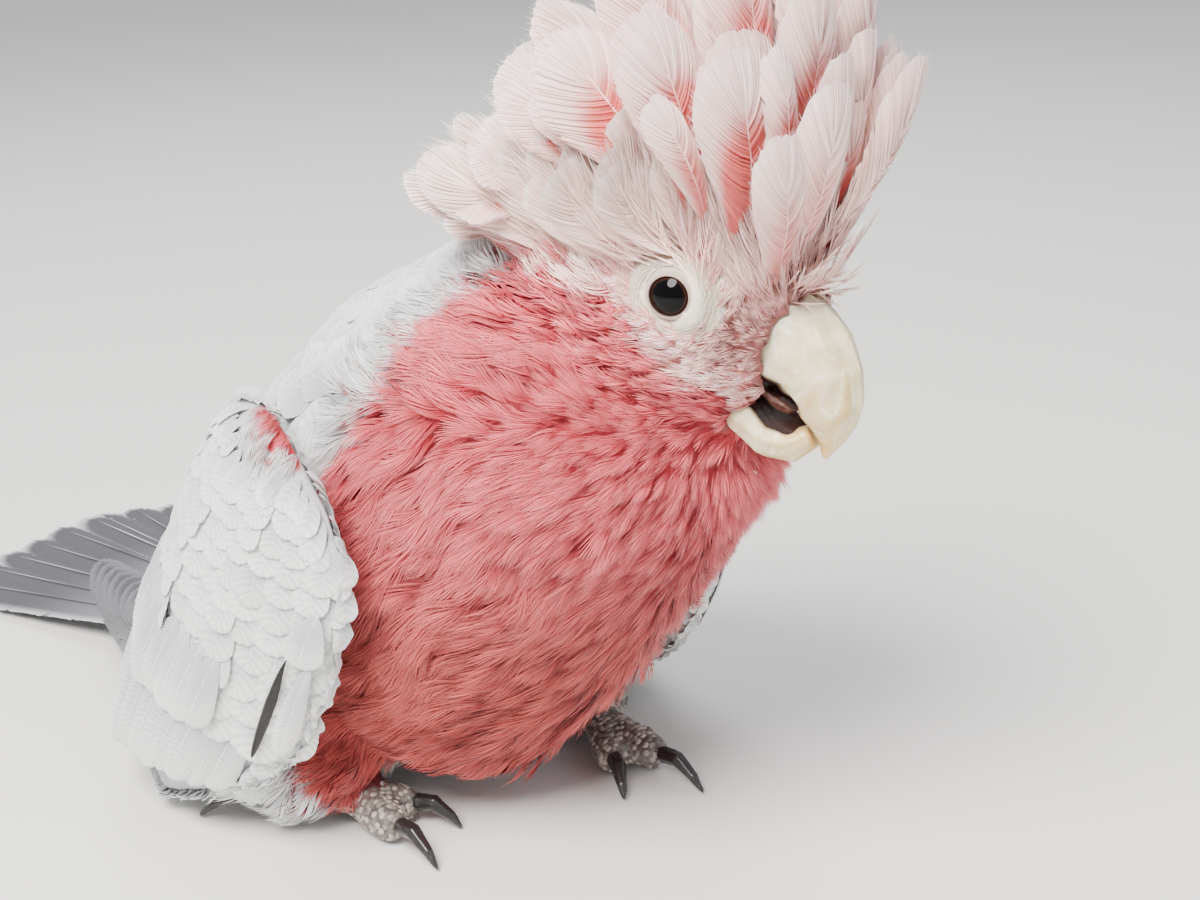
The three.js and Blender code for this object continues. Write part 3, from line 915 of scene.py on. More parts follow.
def coatFeathers(roots, look, lengths, widths, random, heading, rise=0.0):
    # feathers that lie along the body: `rise` is how far, in mm, their tips stand off it
    steps = look["keys"]
    angle = random.normal(0, math.radians(look["wander"]), len(roots))
    lines, normals, passed = trace(roots, lengths, steps, angle, heading)
    turned = (normals[:, 0] * normals[:, -1]).sum(1)
    keep = ~onFoot[passed].any(1) & (turned > look.get("mostTurned", -1))
    rise = np.broadcast_to(np.asarray(rise, float), len(roots))[keep, None]
    lines, normals, passed = lines[keep], normals[keep], passed[keep]
    lengths, widths = lengths[keep], widths[keep]
    share = np.linspace(0, 1, steps + 1)[None]
    top = random.normal(look["lift"], look["liftSpread"], len(lines))[:, None]
    height = blend(look["rootLift"], top, share ** look["liftPower"])
    below = depth[passed] * (1 - height) - rise * mm * share**1.6
    lines = lines - normals * below[:, :, None]
    ends = passed[:, [0, -1]]
    return Feathers(lines, normals, lengths, widths, {name: field[ends] for name, field in marks.items()})


# Plumage finishes. The marks are the same on the skin and on every feather.
tints = {
    # roseDeep: the rose of the feather roots and of the skin, partly their own deeper colour and partly
    # painted shade in the gaps between feathers
    "rose": paint(233, 108, 116), "roseDeep": paint(168, 36, 50), "roseTip": paint(250, 152, 154),
    # roseLow and roseLowDeep: the darker rose low on the body, partly its own colour and partly painted shade
    "roseLow": paint(188, 76, 68), "roseLowDeep": paint(110, 22, 25),
    "crown": paint(253, 225, 216), "crownBase": paint(246, 212, 202),
    "pale": paint(250, 220, 214), "paleBase": paint(234, 150, 146), "paleTip": paint(254, 240, 237),
    "grey": paint(230, 231, 230), "greyBase": paint(188, 189, 192),
    "dusky": paint(214, 160, 148), "duskyBase": paint(104, 46, 44),
    # crest and crestTip: the crest's own pinkish white, made pinker as painted light shining through the thin
    # feathers
    "crest": paint(255, 217, 210), "salmon": paint(242, 112, 108), "crestTip": paint(255, 237, 234),
    "slate": paint(74, 74, 80), "slateEdge": paint(196, 197, 200), "slateBase": paint(150, 151, 156),
    "shadow": paint(20, 17, 16),
}


def plumage():
    shader = Shader("plumage")
    along = shader.attribute("along")
    tip = shader.attribute("tip")
    chance = shader.attribute("chance")
    barb = shader.attribute("barb")
    grey = shader.attribute("grey")
    pale = shader.attribute("pale")
    reach = shader.fade(along + (tip - 0.5) * 0.3, 0.25, 0.95)
    # the rose deepens towards each feather's root: partly its own deeper base, partly painted shade in the
    # gaps between feathers
    rose = shader.mix(reach, tints["roseDeep"], tints["rose"])
    rose = shader.mix(shader.fade(along * tip, 0.55, 1.0), rose, tints["roseTip"])
    # the rose darkens towards the bottom: partly its own deeper rose, partly painted shade under the light
    # from above
    lowRoseAndShade = shader.mix(reach, tints["roseLowDeep"], tints["roseLow"])
    rose = shader.mix(shader.attribute("low") * 0.85, rose, lowRoseAndShade)
    light = shader.mix(reach, tints["paleBase"], tints["pale"])
    crownLight = shader.mix(reach, tints["crownBase"], tints["crown"])
    light = shader.mix(shader.attribute("crown"), light, crownLight)
    light = shader.mix(shader.fade(along * tip, 0.5, 1.0), light, tints["paleTip"])
    ashen = shader.mix(reach, tints["greyBase"], tints["grey"])
    # the grey feathers darken at their edges: partly a grey fringe, partly a painted shadow line along each
    # edge
    ashen = shader.mix(shader.fade(along * 0.35 + tip * 0.65, 0.86, 0.99) * 0.5, ashen, tints["greyBase"])
    dusky = shader.attribute("dusky")
    light = shader.mix(dusky * 0.85, light, shader.mix(reach, tints["duskyBase"], tints["dusky"]))
    colour = shader.mix(shader.fade(pale + (chance - 0.5) * 0.5 + (barb - 0.5) * 0.3, 0.3, 0.7), rose, light)
    colour = shader.mix(shader.fade(grey + (chance - 0.5) * 0.2, 0.35, 0.65), colour, ashen)
    colour = shader.shaded(colour, 0.84 + chance * 0.16 + (barb - 0.5) * 0.26)
    return shader.finish(colour=colour, roughness=0.72, sheen=0.25, sheenRoughness=0.5, specular=0.25)


def makeSkin():
    shader = Shader("skin")
    grey = shader.attribute("grey")
    pale = shader.attribute("pale")
    bare = shader.attribute("bare")
    foot = shader.attribute("foot")
    mottle = shader.noise(420, 4)
    fine = shader.noise(1500, 2)
    # the skin under the rose shows in the gaps: its deep rose is partly painted shade there, and it darkens
    # towards the bottom, partly painted shade as well
    rose = shader.mix(shader.attribute("low") * 0.85, tints["roseDeep"], tints["roseLowDeep"])
    light = shader.mix(shader.attribute("crown"), tints["paleBase"], tints["crownBase"])
    colour = shader.mix(shader.fade(pale, 0.3, 0.7), rose, light)
    colour = shader.mix(shader.fade(grey, 0.35, 0.65), colour, tints["greyBase"])
    colour = shader.mix(shader.attribute("dusky") * 0.85, colour, tints["duskyBase"])
    ring = shader.mix(mottle, paint(206, 190, 176), paint(236, 226, 214))
    colour = shader.mix(bare, colour, ring)
    worn = shader.fade(mottle + (fine - 0.5) * 0.5, 0.35, 0.65)
    toes = shader.mix(worn, paint(84, 76, 74), paint(128, 119, 114))
    colour = shader.mix(foot, colour, toes)
    normal = shader.bump(fine + mottle * 1.5, 0.15 * mm, 0.6)
    material = shader.finish(colour=colour, roughness=0.62, normal=normal)
    skin = makeObject("skin", skinPoints, outline.faces, material)
    for key in ("grey", "pale", "low", "crown"):
        setValues(skin, key, marks[key])
    setValues(skin, "dusky", np.maximum(onHead * fade(billDistance, 4, 1.2), marks["dusky"] * 0.7))
    setValues(skin, "bare", fade(ringMargin, 1, -1))
    setValues(skin, "foot", outline.smooth(onFoot.astype(float), 2))
    centres = skinPoints[outline.faces].mean(1)
    patches = nearest(patchTree, centres)[0]
    cornerMap = mapPlace(skinPoints[outline.faces].reshape(-1, 3), np.repeat(patches, 4))
    setMap(skin, np.clip(cornerMap, 0, 1))
    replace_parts(skin, *flesh["nodes"])


# The coat, tract by tract. Lengths, widths and spacings are in mm.
bodyLook = {
    "length": 16, "width": 6.2, "barbs": 16, "barbWidth": 0.21, "start": 0.15, "slant": 0.62, "broad": 0.76,
    "straight": 0.25, "foot": 0.6, "bow": 0.6, "loose": 0.05, "camber": 0.03, "puff": 0.02, "lean": 0.5,
    "steps": 3, "shaft": 0, "variants": 12, "roll": 0.2, "keys": 6, "wander": 6, "clumps": 4,
    "clumping": 0.26, "rootLift": 0.02, "lift": 0.98, "liftSpread": 0.12, "liftPower": 0.75,
}
faceLook = {**bodyLook, "length": 7, "width": 3.0, "barbs": 7, "barbWidth": 0.2, "wander": 8, "keys": 4}
loresLook = {**bodyLook, "length": 3.6, "width": 1.7, "barbs": 5, "barbWidth": 0.17, "wander": 16, "keys": 3,
             "rootLift": 0.42, "lift": 1.1, "liftSpread": 0.25, "roll": 0.4, "steps": 3, "clumps": 0}
downLook = {**bodyLook, "length": 16, "width": 8, "barbs": 13, "barbWidth": 0.34, "loose": 0.08, "wander": 12,
            "roll": 0.3, "lift": 1.0, "liftSpread": 0.2}
backLook = {**bodyLook, "length": 16, "width": 9.5, "barbs": 20, "closed": True, "ridge": 0.05, "slant": 0.24,
            "start": 0.06, "foot": 0.55, "broad": 0.72, "straight": 0.62, "mostTurned": 0.4, "loose": 0.01,
            "camber": 0.05, "puff": 0.01, "clumps": 0, "wander": 4, "roll": 0.05,
            "liftPower": 0.55, "liftSpread": 0.04, "rootLift": -0.1, "shaft": 0.22}
tracts = {
    "lores": {"gap": 0.72, "length": 3.6}, "belly": {"wider": 1.15, "length": 13.0},
    "mantle": {"gap": 3.7, "length": 15.0}, "mantle_edge": {"gap": 2.3, "length": 13.0},
    "vent": {"gap": 2.6, "length": 13.0}, "shoulder": {"gap": 1.9, "length": 8.0},
}
growth = {
    "away": (10, 62),  # how far from the bill the feathers are smallest and largest
    "smallest": 6.5, "gap": (1.25, 2.28),
    "loresAway": 11, "loresLow": -6, "ringLores": 1.8,  # short feathers by the bill and round the eyes
    "insideRing": -0.7,  # how far feathers grow past the edge of the bare skin
    "bellyTop": 20, "ventTop": 26,  # the heights at which the down starts
}
ruffle = {  # a fold of the breast's feathers that stands off it
    "bottom": (72, 77), "top": (90, 84), "front": (-92, -98), "rise": 2.2,
}
mouth = {"near": 5, "start": 0.1, "look": 2.5, "gap": 0.6, "touching": 0.15}  # where the bill leaves no room
ripple = {"angle": 10, "rounds": 70}  # slow swings in the lie of the coat, in degrees


def slowNoise(random, rounds):
    # noise over the surface that changes slowly, with a spread of 1
    field = outline.smooth(random.normal(0, 1, len(surface)), rounds)
    return (field - field.mean()) / field.std()


def swung(field, degrees):
    # turns each direction about the way out of the body
    angle = np.radians(degrees)[:, None]
    return field * np.cos(angle) + np.cross(surfaceNormals, field) * np.sin(angle)


def facesBill():
    # points whose way out is blocked by the bill, such as those inside the mouth
    index = np.flatnonzero(onHead & (billDistance < mouth["near"]))
    blocked = np.zeros(len(surface), bool)
    starts = surface[index] + surfaceNormals[index] * mouth["start"] * mm
    blocked[index] = castAll(billTree, starts, surfaceNormals[index], mouth["look"] * mm) < mouth["gap"] * mm
    return blocked | (billDistance < mouth["touching"])


def makeCoat(plume, thin):
    random = np.random.default_rng(5)
    height = surface[:, 2] / mm
    crown = marks["crown"]
    free = ~facesBill() & (ringMargin > growth["insideRing"])
    size = fade(away, *growth["away"])
    lengths = blend(growth["smallest"], bodyLook["length"], size)
    spacing = blend(*growth["gap"], size) * thin
    greyPart = (onTrunk | onNeck) & (marks["grey"] > 0.5)
    low = (onTrunk | onNeck | onLeg) & ~greyPart & ((height < growth["bellyTop"]) | onLeg)
    rippled = swung(flow, slowNoise(random, ripple["rounds"]) * ripple["angle"])
    ruff = fade(height, *ruffle["bottom"]) * fade(height, *ruffle["top"])
    ruff *= fade(surface[:, 1] / mm, *ruffle["front"]) * ruffle["rise"]

    def tract(name, look, where):
        # a tract with no gap or length of its own has feathers that grow larger away from the bill
        own = tracts.get(name, {})
        gap = own["gap"] * thin if "gap" in own else spacing * own.get("wider", 1)
        long = own.get("length", lengths)
        seeds = scatter(np.flatnonzero(where & free), np.broadcast_to(gap, len(surface)), random)
        reach = np.broadcast_to(long, len(surface))[seeds] * random.normal(1, 0.1, len(seeds)) * mm
        wide = reach * look["width"] / look["length"] * random.normal(1, 0.08, len(seeds))
        feathers = coatFeathers(surface[seeds], look, reach, wide, random, rippled, ruff[seeds])
        layFeathers(name, feathers, look, plume, random)

    crownPart = onHead & (crown > 0.2)
    byBill = onHead & (away < growth["loresAway"]) & (headSpace[:, 2] > growth["loresLow"])
    loresPart = onHead & (byBill | (ringMargin < growth["ringLores"])) & ~crownPart
    aboveVent = height > growth["ventTop"]
    back = greyPart & (marks["grey"] > 0.85) & aboveVent
    tract("lores", loresLook, loresPart)
    tract("face", faceLook, onHead & ~loresPart & ~crownPart)
    tract("breast", bodyLook, (onNeck | onTrunk) & ~greyPart & ~low)
    tract("belly", downLook, low)
    tract("mantle", backLook, back)
    tract("mantle_edge", bodyLook, greyPart & ~back & aboveVent)
    tract("vent", downLook, greyPart & ~aboveVent)
    tract("shoulder", bodyLook, onWing & (marks["grey"] < 0.5))
    layCrown("vanes", vaneLook, 0.75, crown, free, plume, thin)
    layCrown("plumes", plumeLook, 0.2, crown, free, plume, thin)


# The crest and the plumes of the crown that rise into it. Places are in the head's frame, in mm.
crest = {
    "rows": [
        # y, z, spread, count, length, width, lean, flare
        (-17, 10, 6, 5, 39, 13, -17, 21), (-12, 15, 8, 4, 45, 17, -8, 26), (-6, 18, 10, 4, 44, 18, 8, 30),
        (1, 18.5, 11, 4, 39, 19, 24, 31), (8, 17.5, 12, 4, 32, 19, 42, 32), (15, 14, 12, 4, 24, 19, 64, 30),
        (20, 11, 12, 4, 20, 20, 84, 34),
        (-17, 11.5, 6, 6, 29, 9, -17, 21), (-12, 16, 7, 4, 36, 11, -8, 24), (-6, 19, 9, 4, 35, 11, 8, 30),
    ],
    "main": 7,  # how many of the rows carry the longest feathers
    "coolRows": (0, 9),  # which rows show little salmon
    "warmth": 0.95, "coolWarmth": 0.35,
    "slimRows": (1, 2, 3, 4),  # which rows have narrow feathers in front as well
    "slimWidth": 6.8,
    "shorter": 0.22, "slope": 3, "curl": 0.09, "bulge": 0.08, "sunk": 5,
    "plumes": {"gap": 1.15, "short": 4.5, "long": 22, "width": 0.25, "lift": 0.22, "frontLonger": 0.15,
               "back": 13},
    "vanes": {"gap": 4.4, "short": 11, "long": 23, "width": 0.42, "lift": 0.3, "frontLonger": 0, "back": 4},
}
crestLook = {
    "length": 42, "width": 14, "barbs": 66, "barbWidth": 0.36, "start": 0.06, "slant": 0.36, "broad": 0.8,
    "straight": 0.7, "blunt": 0.78, "foot": 0.55, "bow": 0.62, "loose": 0.012, "camber": 0.06,
    "puff": 0.012, "lean": 0.3, "steps": 5, "shaft": 0.35, "shaftRise": 0.005, "variants": 8, "roll": 0.08,
    "keys": 8, "backing": 0.2, "clumps": 18, "clumping": 0.08,
}
slimLook = {**crestLook, "barbs": 40, "width": 6.5, "slant": 0.3, "broad": 0.84, "straight": 0.7, "clumps": 8}
plumeLook = {**bodyLook, "length": 16, "width": 4.3, "barbs": 10, "barbWidth": 0.22, "slant": 0.5, "steps": 4,
             "broad": 0.75, "loose": 0.05, "shaft": 0.2, "variants": 12, "clumps": 4}
vaneLook = {**slimLook, "length": 26, "width": 8, "barbs": 34, "slant": 0.4, "keys": 6}


def crestHeading(place, back):
    # which way the crest stands at places in the head's frame
    table = np.array(crest["rows"][:crest["main"]], float)
    lean = np.radians(np.interp(place[:, 1], table[:, 0], table[:, 6]) + back * fade(place[:, 1], -12, -18))
    out = np.radians(np.interp(place[:, 1], table[:, 0], table[:, 7])) * np.clip(place[:, 0] / 12, -1.2, 1.2)
    heading = np.stack([np.sin(out), np.cos(out) * np.sin(lean), np.cos(out) * np.cos(lean)], axis=1)
    face = np.stack([np.sin(out) * 0.4, -np.cos(lean), np.sin(lean)], axis=1)
    return heading, face


def layCrown(name, look, least, crown, free, plume, thin):
    random = np.random.default_rng(21)
    setting = crest[name]
    gap = setting["gap"] * thin * blend(0.72, 1.15, fade(headSpace[:, 1], -10, 2))
    seeds = scatter(np.flatnonzero((crown > least) & free), gap, random)
    place = headSpace[seeds]
    heading, face = crestHeading(place, setting["back"])
    heading, face = heading @ headTurn.T, face @ headTurn.T
    share = crown[seeds][:, None]
    lengths = blend(setting["short"], setting["long"], share[:, 0]) * random.normal(1, 0.12, len(seeds)) * mm
    lengths *= 1 + setting["frontLonger"] * share[:, 0] * fade(place[:, 1], -11, -16)
    low = flow[seeds]
    end = unit(blend(low, heading, 0.25 + 0.75 * share) + random.normal(0, 0.07, heading.shape))
    out = surfaceNormals[seeds]
    begin = unit(low + out * setting["lift"] * share)
    t = np.linspace(0, 1, look["keys"] + 1)[None, :, None]
    root = surface[seeds] - out * depth[seeds][:, None]
    reach = lengths[:, None, None]
    middle = root[:, None] + begin[:, None] * reach * 0.4
    tip = middle + end[:, None] * reach * 0.6
    lines = (1 - t) ** 2 * root[:, None] + 2 * t * (1 - t) * middle + t**2 * tip
    ahead = unit(np.gradient(lines, axis=1))
    faces = unit(blend(out[:, None], face[:, None], t * share[:, :, None]))
    faces = unit(faces - ahead * (faces * ahead).sum(2, keepdims=True))
    ends = np.repeat(seeds[:, None], 2, 1)
    tones = {"grey": np.zeros((len(seeds), 2)), "pale": marks["pale"][ends]}
    tones["pale"][:, 1] = np.maximum(tones["pale"][:, 1], share[:, 0])
    tones["crown"] = marks["crown"][ends]
    tones["dusky"] = marks["dusky"][ends] * (0.5, 0.1)
    feathers = Feathers(lines, faces, lengths, lengths * setting["width"], tones)
    layFeathers("crown_" + name, feathers, look, plume, random)


def crestMaterial():
    shader = Shader("crest")
    along, tip = shader.attribute("along"), shader.attribute("tip")
    chance, barb = shader.attribute("chance"), shader.attribute("barb")
    inner = shader.fade(along + (barb - 0.5) * 0.06, 0.96, 0.45) * shader.fade(tip, 1.0, 0.15)
    warm = shader.fade(inner * (0.5 + chance * 1.0) * shader.attribute("warmth"), 0.1, 0.66)
    # the crest tints hold painted light: extra pink for light shining through the thin feathers
    colour = shader.mix(warm, tints["crest"], tints["salmon"])
    colour = shader.mix(shader.fade(along, 0.6, 1.0) * 0.6, colour, tints["crestTip"])
    colour = shader.shaded(colour, 0.9 + (barb - 0.5) * 0.14)
    return shader.finish(colour=colour, roughness=0.6, sheen=0.3, sheenRoughness=0.5, specular=0.3)


def crestRoots(random):
    # the wide feathers and the narrow ones in front of them: root, heading, face, length, width, warmth
    wide, slim = [], []
    for index, (y, z, spread, count, length, width, lean, flare) in enumerate(crest["rows"]):
        for k in range(count):
            share = 2 * k / (count - 1) - 1
            reach = length * (1 - crest["shorter"] * share * share)
            for layer in range(-1, 2 if index < crest["main"] else 1):
                side = spread * share + random.normal(0, 0.8) + layer * 1.5
                out = math.radians(flare * share + random.normal(0, 4) + layer * 5)
                back = math.radians(lean + random.normal(0, 2.5) + layer * 4)
                level = math.cos(out)
                heading = np.array([math.sin(out), level * math.sin(back), level * math.cos(back)])
                face = np.array([math.sin(out) * 0.5, -math.cos(back), math.sin(back)])
                root = np.array([side, y + layer * 1.5, z - crest["slope"] * share * share])
                size = reach * random.uniform(0.9, 1.02)
                warmth = crest["coolWarmth"] if index in crest["coolRows"] else crest["warmth"]
                if layer >= 0:
                    wide.append((root, heading, face, size, width * random.uniform(0.85, 1.05), warmth))
                elif index in crest["slimRows"] and k % 2 == index % 2:
                    root = root + heading * 3 + face * 1.2
                    slim.append((root, heading, face, size * 0.72, crest["slimWidth"], warmth * 0.7))
    return wide, slim


def makeCrest():
    random = np.random.default_rng(22)
    wide, slim = crestRoots(random)
    material = crestMaterial()
    sunk = crest["sunk"]
    for name, look, entries in (("crest_feathers", crestLook, wide), ("crest_slim", slimLook, slim)):
        root, heading, face, length, width, warmth = (np.array(column) for column in zip(*entries))
        t = np.linspace(0, 1, look["keys"] + 1)[None, :, None]
        reach = (length + sunk)[:, None, None]
        bend = crest["bulge"] * 4 * t * (1 - t) - crest["curl"] * t**3
        lines = (root - heading * sunk)[:, None] + reach * (heading[:, None] * t + face[:, None] * bend)
        faces = np.repeat(face[:, None], look["keys"] + 1, 1)
        tones = {"warmth": np.repeat(warmth[:, None], 2, 1)}
        lines = fromHead(lines.reshape(-1, 3)).reshape(lines.shape)
        feathers = Feathers(lines, faces @ headTurn.T, (length + sunk) * mm, width * mm, tones)
        layFeathers(name, feathers, look, material, random)
    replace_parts(bpy.data.objects["crest_feathers"], "crest")


# Wings: rows of scale-like coverts over the blade, which grow longer towards its tip.
covertLook = {
    **bodyLook, "closed": True, "length": 15, "width": 10, "barbs": 20, "ridge": 0.045, "foot": 0.55,
    "start": 0.05, "slant": 0.22, "broad": 0.76, "straight": 0.66, "mostTurned": 0.45, "loose": 0.006,
    "camber": 0.02, "puff": 0.015, "wander": 3, "roll": 0.04, "rootLift": -0.1, "lift": 1.0, "liftPower": 0.5,
    "liftSpread": 0.03, "variants": 8, "shaft": 0.25, "keys": 4,
}
longLook = {**covertLook, "length": 34, "width": 10, "barbs": 44, "slant": 0.18, "broad": 0.74,
            "straight": 0.66, "shaft": 0.45, "ridge": 0.06, "keys": 4, "steps": 5, "camber": 0.03}
slitLook = {**longLook, "broad": 0.5, "straight": 0.2, "shaft": 0}
edgeLook = {**covertLook, "length": 9, "width": 4.4, "barbs": 11, "shaft": 0, "wander": 4, "mostTurned": 0}
rows = {
    "first": 2.0, "end": 44, "gap": 2.6, "lastGap": 6.4, "step": 2.9, "lastStep": 6.6, "reach": 36,
    "overlap": 3.2, "fatness": 1.6, "float": 0.22, "sag": 0.0035,
}
wingEdge = {"gap": 2.2, "length": 7.5, "spread": 0.7, "slim": 0.5, "turned": 0.72}  # round the blade's rim
longRows = [
    {"down": 48, "step": 3.6, "length": 41, "width": 8.5, "height": 0.3, "across": (-22, 26), "lean": 0.16},
    {"down": 33, "step": 9, "length": 38, "width": 2.1, "height": 2.0, "across": (-25.5, -25), "lean": 0.05,
     "dark": 1},
    {"down": 41, "step": 3.9, "length": 25, "width": 8.0, "height": 1.2, "across": (-15, 28), "lean": 0.12},
    {"down": 34, "step": 9, "length": 36, "width": 5.0, "height": 2.5, "across": (-28.3, -28), "lean": 0.05},
    {"down": 25, "step": 9, "length": 17, "width": 7.5, "height": 2.5, "across": (-26.8, -26), "lean": 0.05},
]  # secondaries; a dark sheet painted as the shadow in the slit; greater coverts; a pale strip before the slit; a covert over both
longBow = {"rise": 1.2, "root": 1.6, "floor": 1.8, "under": 0.03}  # how they arch, in mm, and clear the floor


def wingSpot(side, down, back):
    # the place on a wing's outer face at distances down and across it, in mm
    start, ahead, across = wingLine(side)
    sign = signs[side]
    spot = start + ahead * down * mm + across * back * mm
    hit = skinTree.ray_cast(Vector((sign * 0.2, spot[1], spot[2])), Vector((-sign, 0, 0)), 0.3)
    if hit[0] is None or not onWing[outline.faces[hit[2]][0]] or hit[0][0] * sign < 0.02:
        return None
    return np.array(hit[0])


def covertRows(side, random):
    # roots of the coverts on a wing's outer face, with the gap between rows at each
    found, gaps, wides = [], [], []
    down, shift = rows["first"], 0
    while down < rows["end"]:
        share = down / rows["end"]
        gap = blend(rows["gap"], rows["lastGap"], share)
        wide = blend(rows["step"], rows["lastStep"], share)
        for k in np.arange(-rows["reach"] + shift * wide / 2, rows["reach"], wide):
            drop = down - rows["sag"] * k * k  # each row droops towards the edges of the wing
            spot = wingSpot(side, drop + random.normal(0, 0.25), k + random.normal(0, 0.25))
            if spot is not None:
                found.append(spot)
                gaps.append(gap)
                wides.append(wide)
        down += gap
        shift = 1 - shift
    return np.array(found), np.array(gaps) * mm, np.array(wides) * mm


def longFeathers(side, row, random):
    # one row of stiff feathers that hang straight from their roots
    _, ahead, across = wingLine(side)
    t = np.linspace(0, 1, covertLook["keys"] + 1)[:, None]
    arch = longBow["rise"] * mm * np.sin(t * math.pi * 0.6) - longBow["root"] * mm * (1 - t) ** 3
    lines, faces, lengths = [], [], []
    for order, k in enumerate(np.arange(*row["across"], row["step"])):
        spot = wingSpot(side, row["down"] - rows["sag"] * k * k + random.normal(0, 0.4), k)
        if spot is None:
            continue
        length = row["length"] * (1 + 0.009 * k) * random.normal(1, 0.02)
        heading = unit(ahead + across * row["lean"] * (1 - 0.016 * k))
        low = spot + heading * length * mm
        length = length * min(1, (spot[2] - longBow["floor"] * mm) / max(spot[2] - low[2], 1e-6))
        out = unit(blend(np.array([signs[side], 0, 0.12]), surfaceNormals[closest(spot[None])[0]], 0.6))
        raised = row["height"] * mm + arch - longBow["under"] * mm * order
        lines.append(spot + heading * t * length * mm + out * raised)
        faces.append(np.broadcast_to(out - across * 0.1, (len(t), 3)))
        lengths.append(length * mm)
    count = len(lines)
    widths = np.full(count, row["width"] * mm) * random.normal(1, 0.04, count)
    tones = evenTones(count, grey=1, pale=0)
    return Feathers(np.array(lines), np.array(faces), np.array(lengths), widths, tones)


def makeWing(side, plume, thin):
    random = np.random.default_rng(11 if side == "left" else 12)
    heading = unit(flat(np.broadcast_to(wingLine(side)[1], surface.shape)))
    for index, row in enumerate(longRows):
        name = f"long_{index + 1}_{side}"
        look, slot, material = longLook, "grey_plumage", plume
        # the row marked dark is a near-black sheet: painted shadow in the wing's slit
        if row.get("dark"):
            look, slot, material = slitLook, "dark_plumage", quillMaterial(name, 0, "shadow", "shadow")
        layFeathers(name, longFeathers(side, row, random), look, material, random)
    roots, gaps, wides = covertRows(side, random)
    grown = marks["grey"][closest(roots)] > 0.6
    roots, gaps, wides = roots[grown], gaps[grown], wides[grown]
    reach = gaps * rows["overlap"] * random.normal(1, 0.04, len(gaps))
    feathers = coatFeathers(roots, covertLook, reach, wides * rows["fatness"], random, heading, rows["float"])
    feathers.tones["grey"][:] = 1
    layFeathers("coverts_" + side, feathers, covertLook, plume, random)
    own = onWing & (surface[:, 0] * signs[side] > 0)
    turned = surfaceNormals[:, 0] * signs[side] < wingEdge["turned"]
    edge = own & turned & (marks["grey"] >= 0.5)
    seeds = scatter(np.flatnonzero(edge), np.full(len(surface), wingEdge["gap"] * thin), random)
    reach = random.normal(wingEdge["length"], wingEdge["spread"], len(seeds)) * mm
    feathers = coatFeathers(surface[seeds], edgeLook, reach, reach * wingEdge["slim"], random, heading)
    feathers.tones["grey"][:] = 1
    layFeathers("wing_edge_" + side, feathers, edgeLook, plume, random)


# Eyes, with their lids and bare skin.
eyeball = {
    "radius": 4.6, "inset": 0.985, "pupil": 2.55, "iris": 3.3, "bulge": 0.12, "bulgeWide": 0.5,
    "rings": 40, "spokes": 64,
}
lids = {
    "above": -0.22,  # how far they lie above the coat's own outline, in mm
    "even": 30,  # rounds of smoothing of the ground under the lids
    "inside": 2.65, "rings": 52, "spokes": 132, "rim": 0.36, "rimAt": 3.4, "rimWidth": 0.36,
    "fold": 0.028, "foldGap": 0.52, "folded": (3.8, 4.4), "pebble": 0.085, "pebbled": (3.6, 4.4),
    "oval": 0.04, "look": 14,
    "overBall": 0.22, "meets": (3.3, 5.4),  # how far they clear the eyeball, and where they reach the ground
    "clear": 0.15, "clearOf": (3.1, 4.5),
    "tuck": 0.9, "tucked": (3.05, 2.65), "skirt": 1.2, "end": 0.7,
}


def turns(count):
    # angles evenly round a circle
    return np.arange(count)[None] / count * 2 * math.pi


def faceIn(faces, first, second, out):
    # turns a new disc's faces over, if need be, so that they look away from `out`
    return faces[:, ::-1] if np.dot(np.cross(first, second), out) < 0 else faces


def polarMesh(rings, spokes):
    # faces of a disc of rings and spokes that runs on around
    k, j = np.meshgrid(np.arange(rings - 1), np.arange(spokes), indexing="ij")
    a = (k * spokes + j).ravel()
    b = (k * spokes + (j + 1) % spokes).ravel()
    return np.stack([a, b, b + spokes, a + spokes], axis=1)


def makeEyeball(side):
    out, ahead, up = eyeAxes(side)
    angle = np.linspace(0, math.pi, eyeball["rings"])[:, None]
    turn = turns(eyeball["spokes"])
    cornea = eyeball["bulge"] * np.exp(-((angle / eyeball["bulgeWide"]) ** 2))
    reach = eyeball["radius"] * eyeball["inset"] + cornea * np.ones_like(turn)
    flatReach = reach * np.sin(angle)
    points = eyes[side] + mm * ((reach * np.cos(angle))[..., None] * out
                                + (flatReach * np.cos(turn))[..., None] * ahead
                                + (flatReach * np.sin(turn))[..., None] * up)
    shader = Shader("eye_" + side)
    rim = shader.attribute("rim")
    streaks = shader.noise(900, 2)
    iris = shader.mix(streaks, paint(26, 12, 9), paint(54, 28, 20))
    beyondPupil = shader.fade(rim, eyeball["pupil"] - 0.15, eyeball["pupil"] + 0.15)
    colour = shader.mix(beyondPupil, paint(4, 3, 4), iris)
    colour = shader.mix(shader.fade(rim, eyeball["iris"] - 0.5, eyeball["iris"]), colour, paint(20, 12, 11))
    material = shader.finish(colour=colour, roughness=0.03, specular=0.13)
    faces = faceIn(polarMesh(eyeball["rings"], eyeball["spokes"]), ahead, up, out)
    ball = makeObject("eyeball_" + side, points.reshape(-1, 3), faces, material)
    setValues(ball, "rim", (flatReach * np.ones_like(turn) + 9 * (angle > 1.5)).ravel())
    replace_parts(ball, "eye_" + side)


def groundUnder(places, out):
    # how far the evened ground under the lids lies above their plane, in mm
    high = lids["look"] * mm
    starts = (places + out * high).reshape(-1, 3)
    drop = castAll(skinTree, starts, np.broadcast_to(-out, starts.shape), 2 * high)
    ground = (high - drop.reshape(places.shape[:2])) / mm
    for _ in range(lids["even"]):
        inner = np.concatenate([ground[:1], ground[:-1]])
        outer = np.concatenate([ground[1:], ground[-1:]])
        ground = (ground * 2 + inner + outer + np.roll(ground, 1, 1) + np.roll(ground, -1, 1)) / 6
    return ground


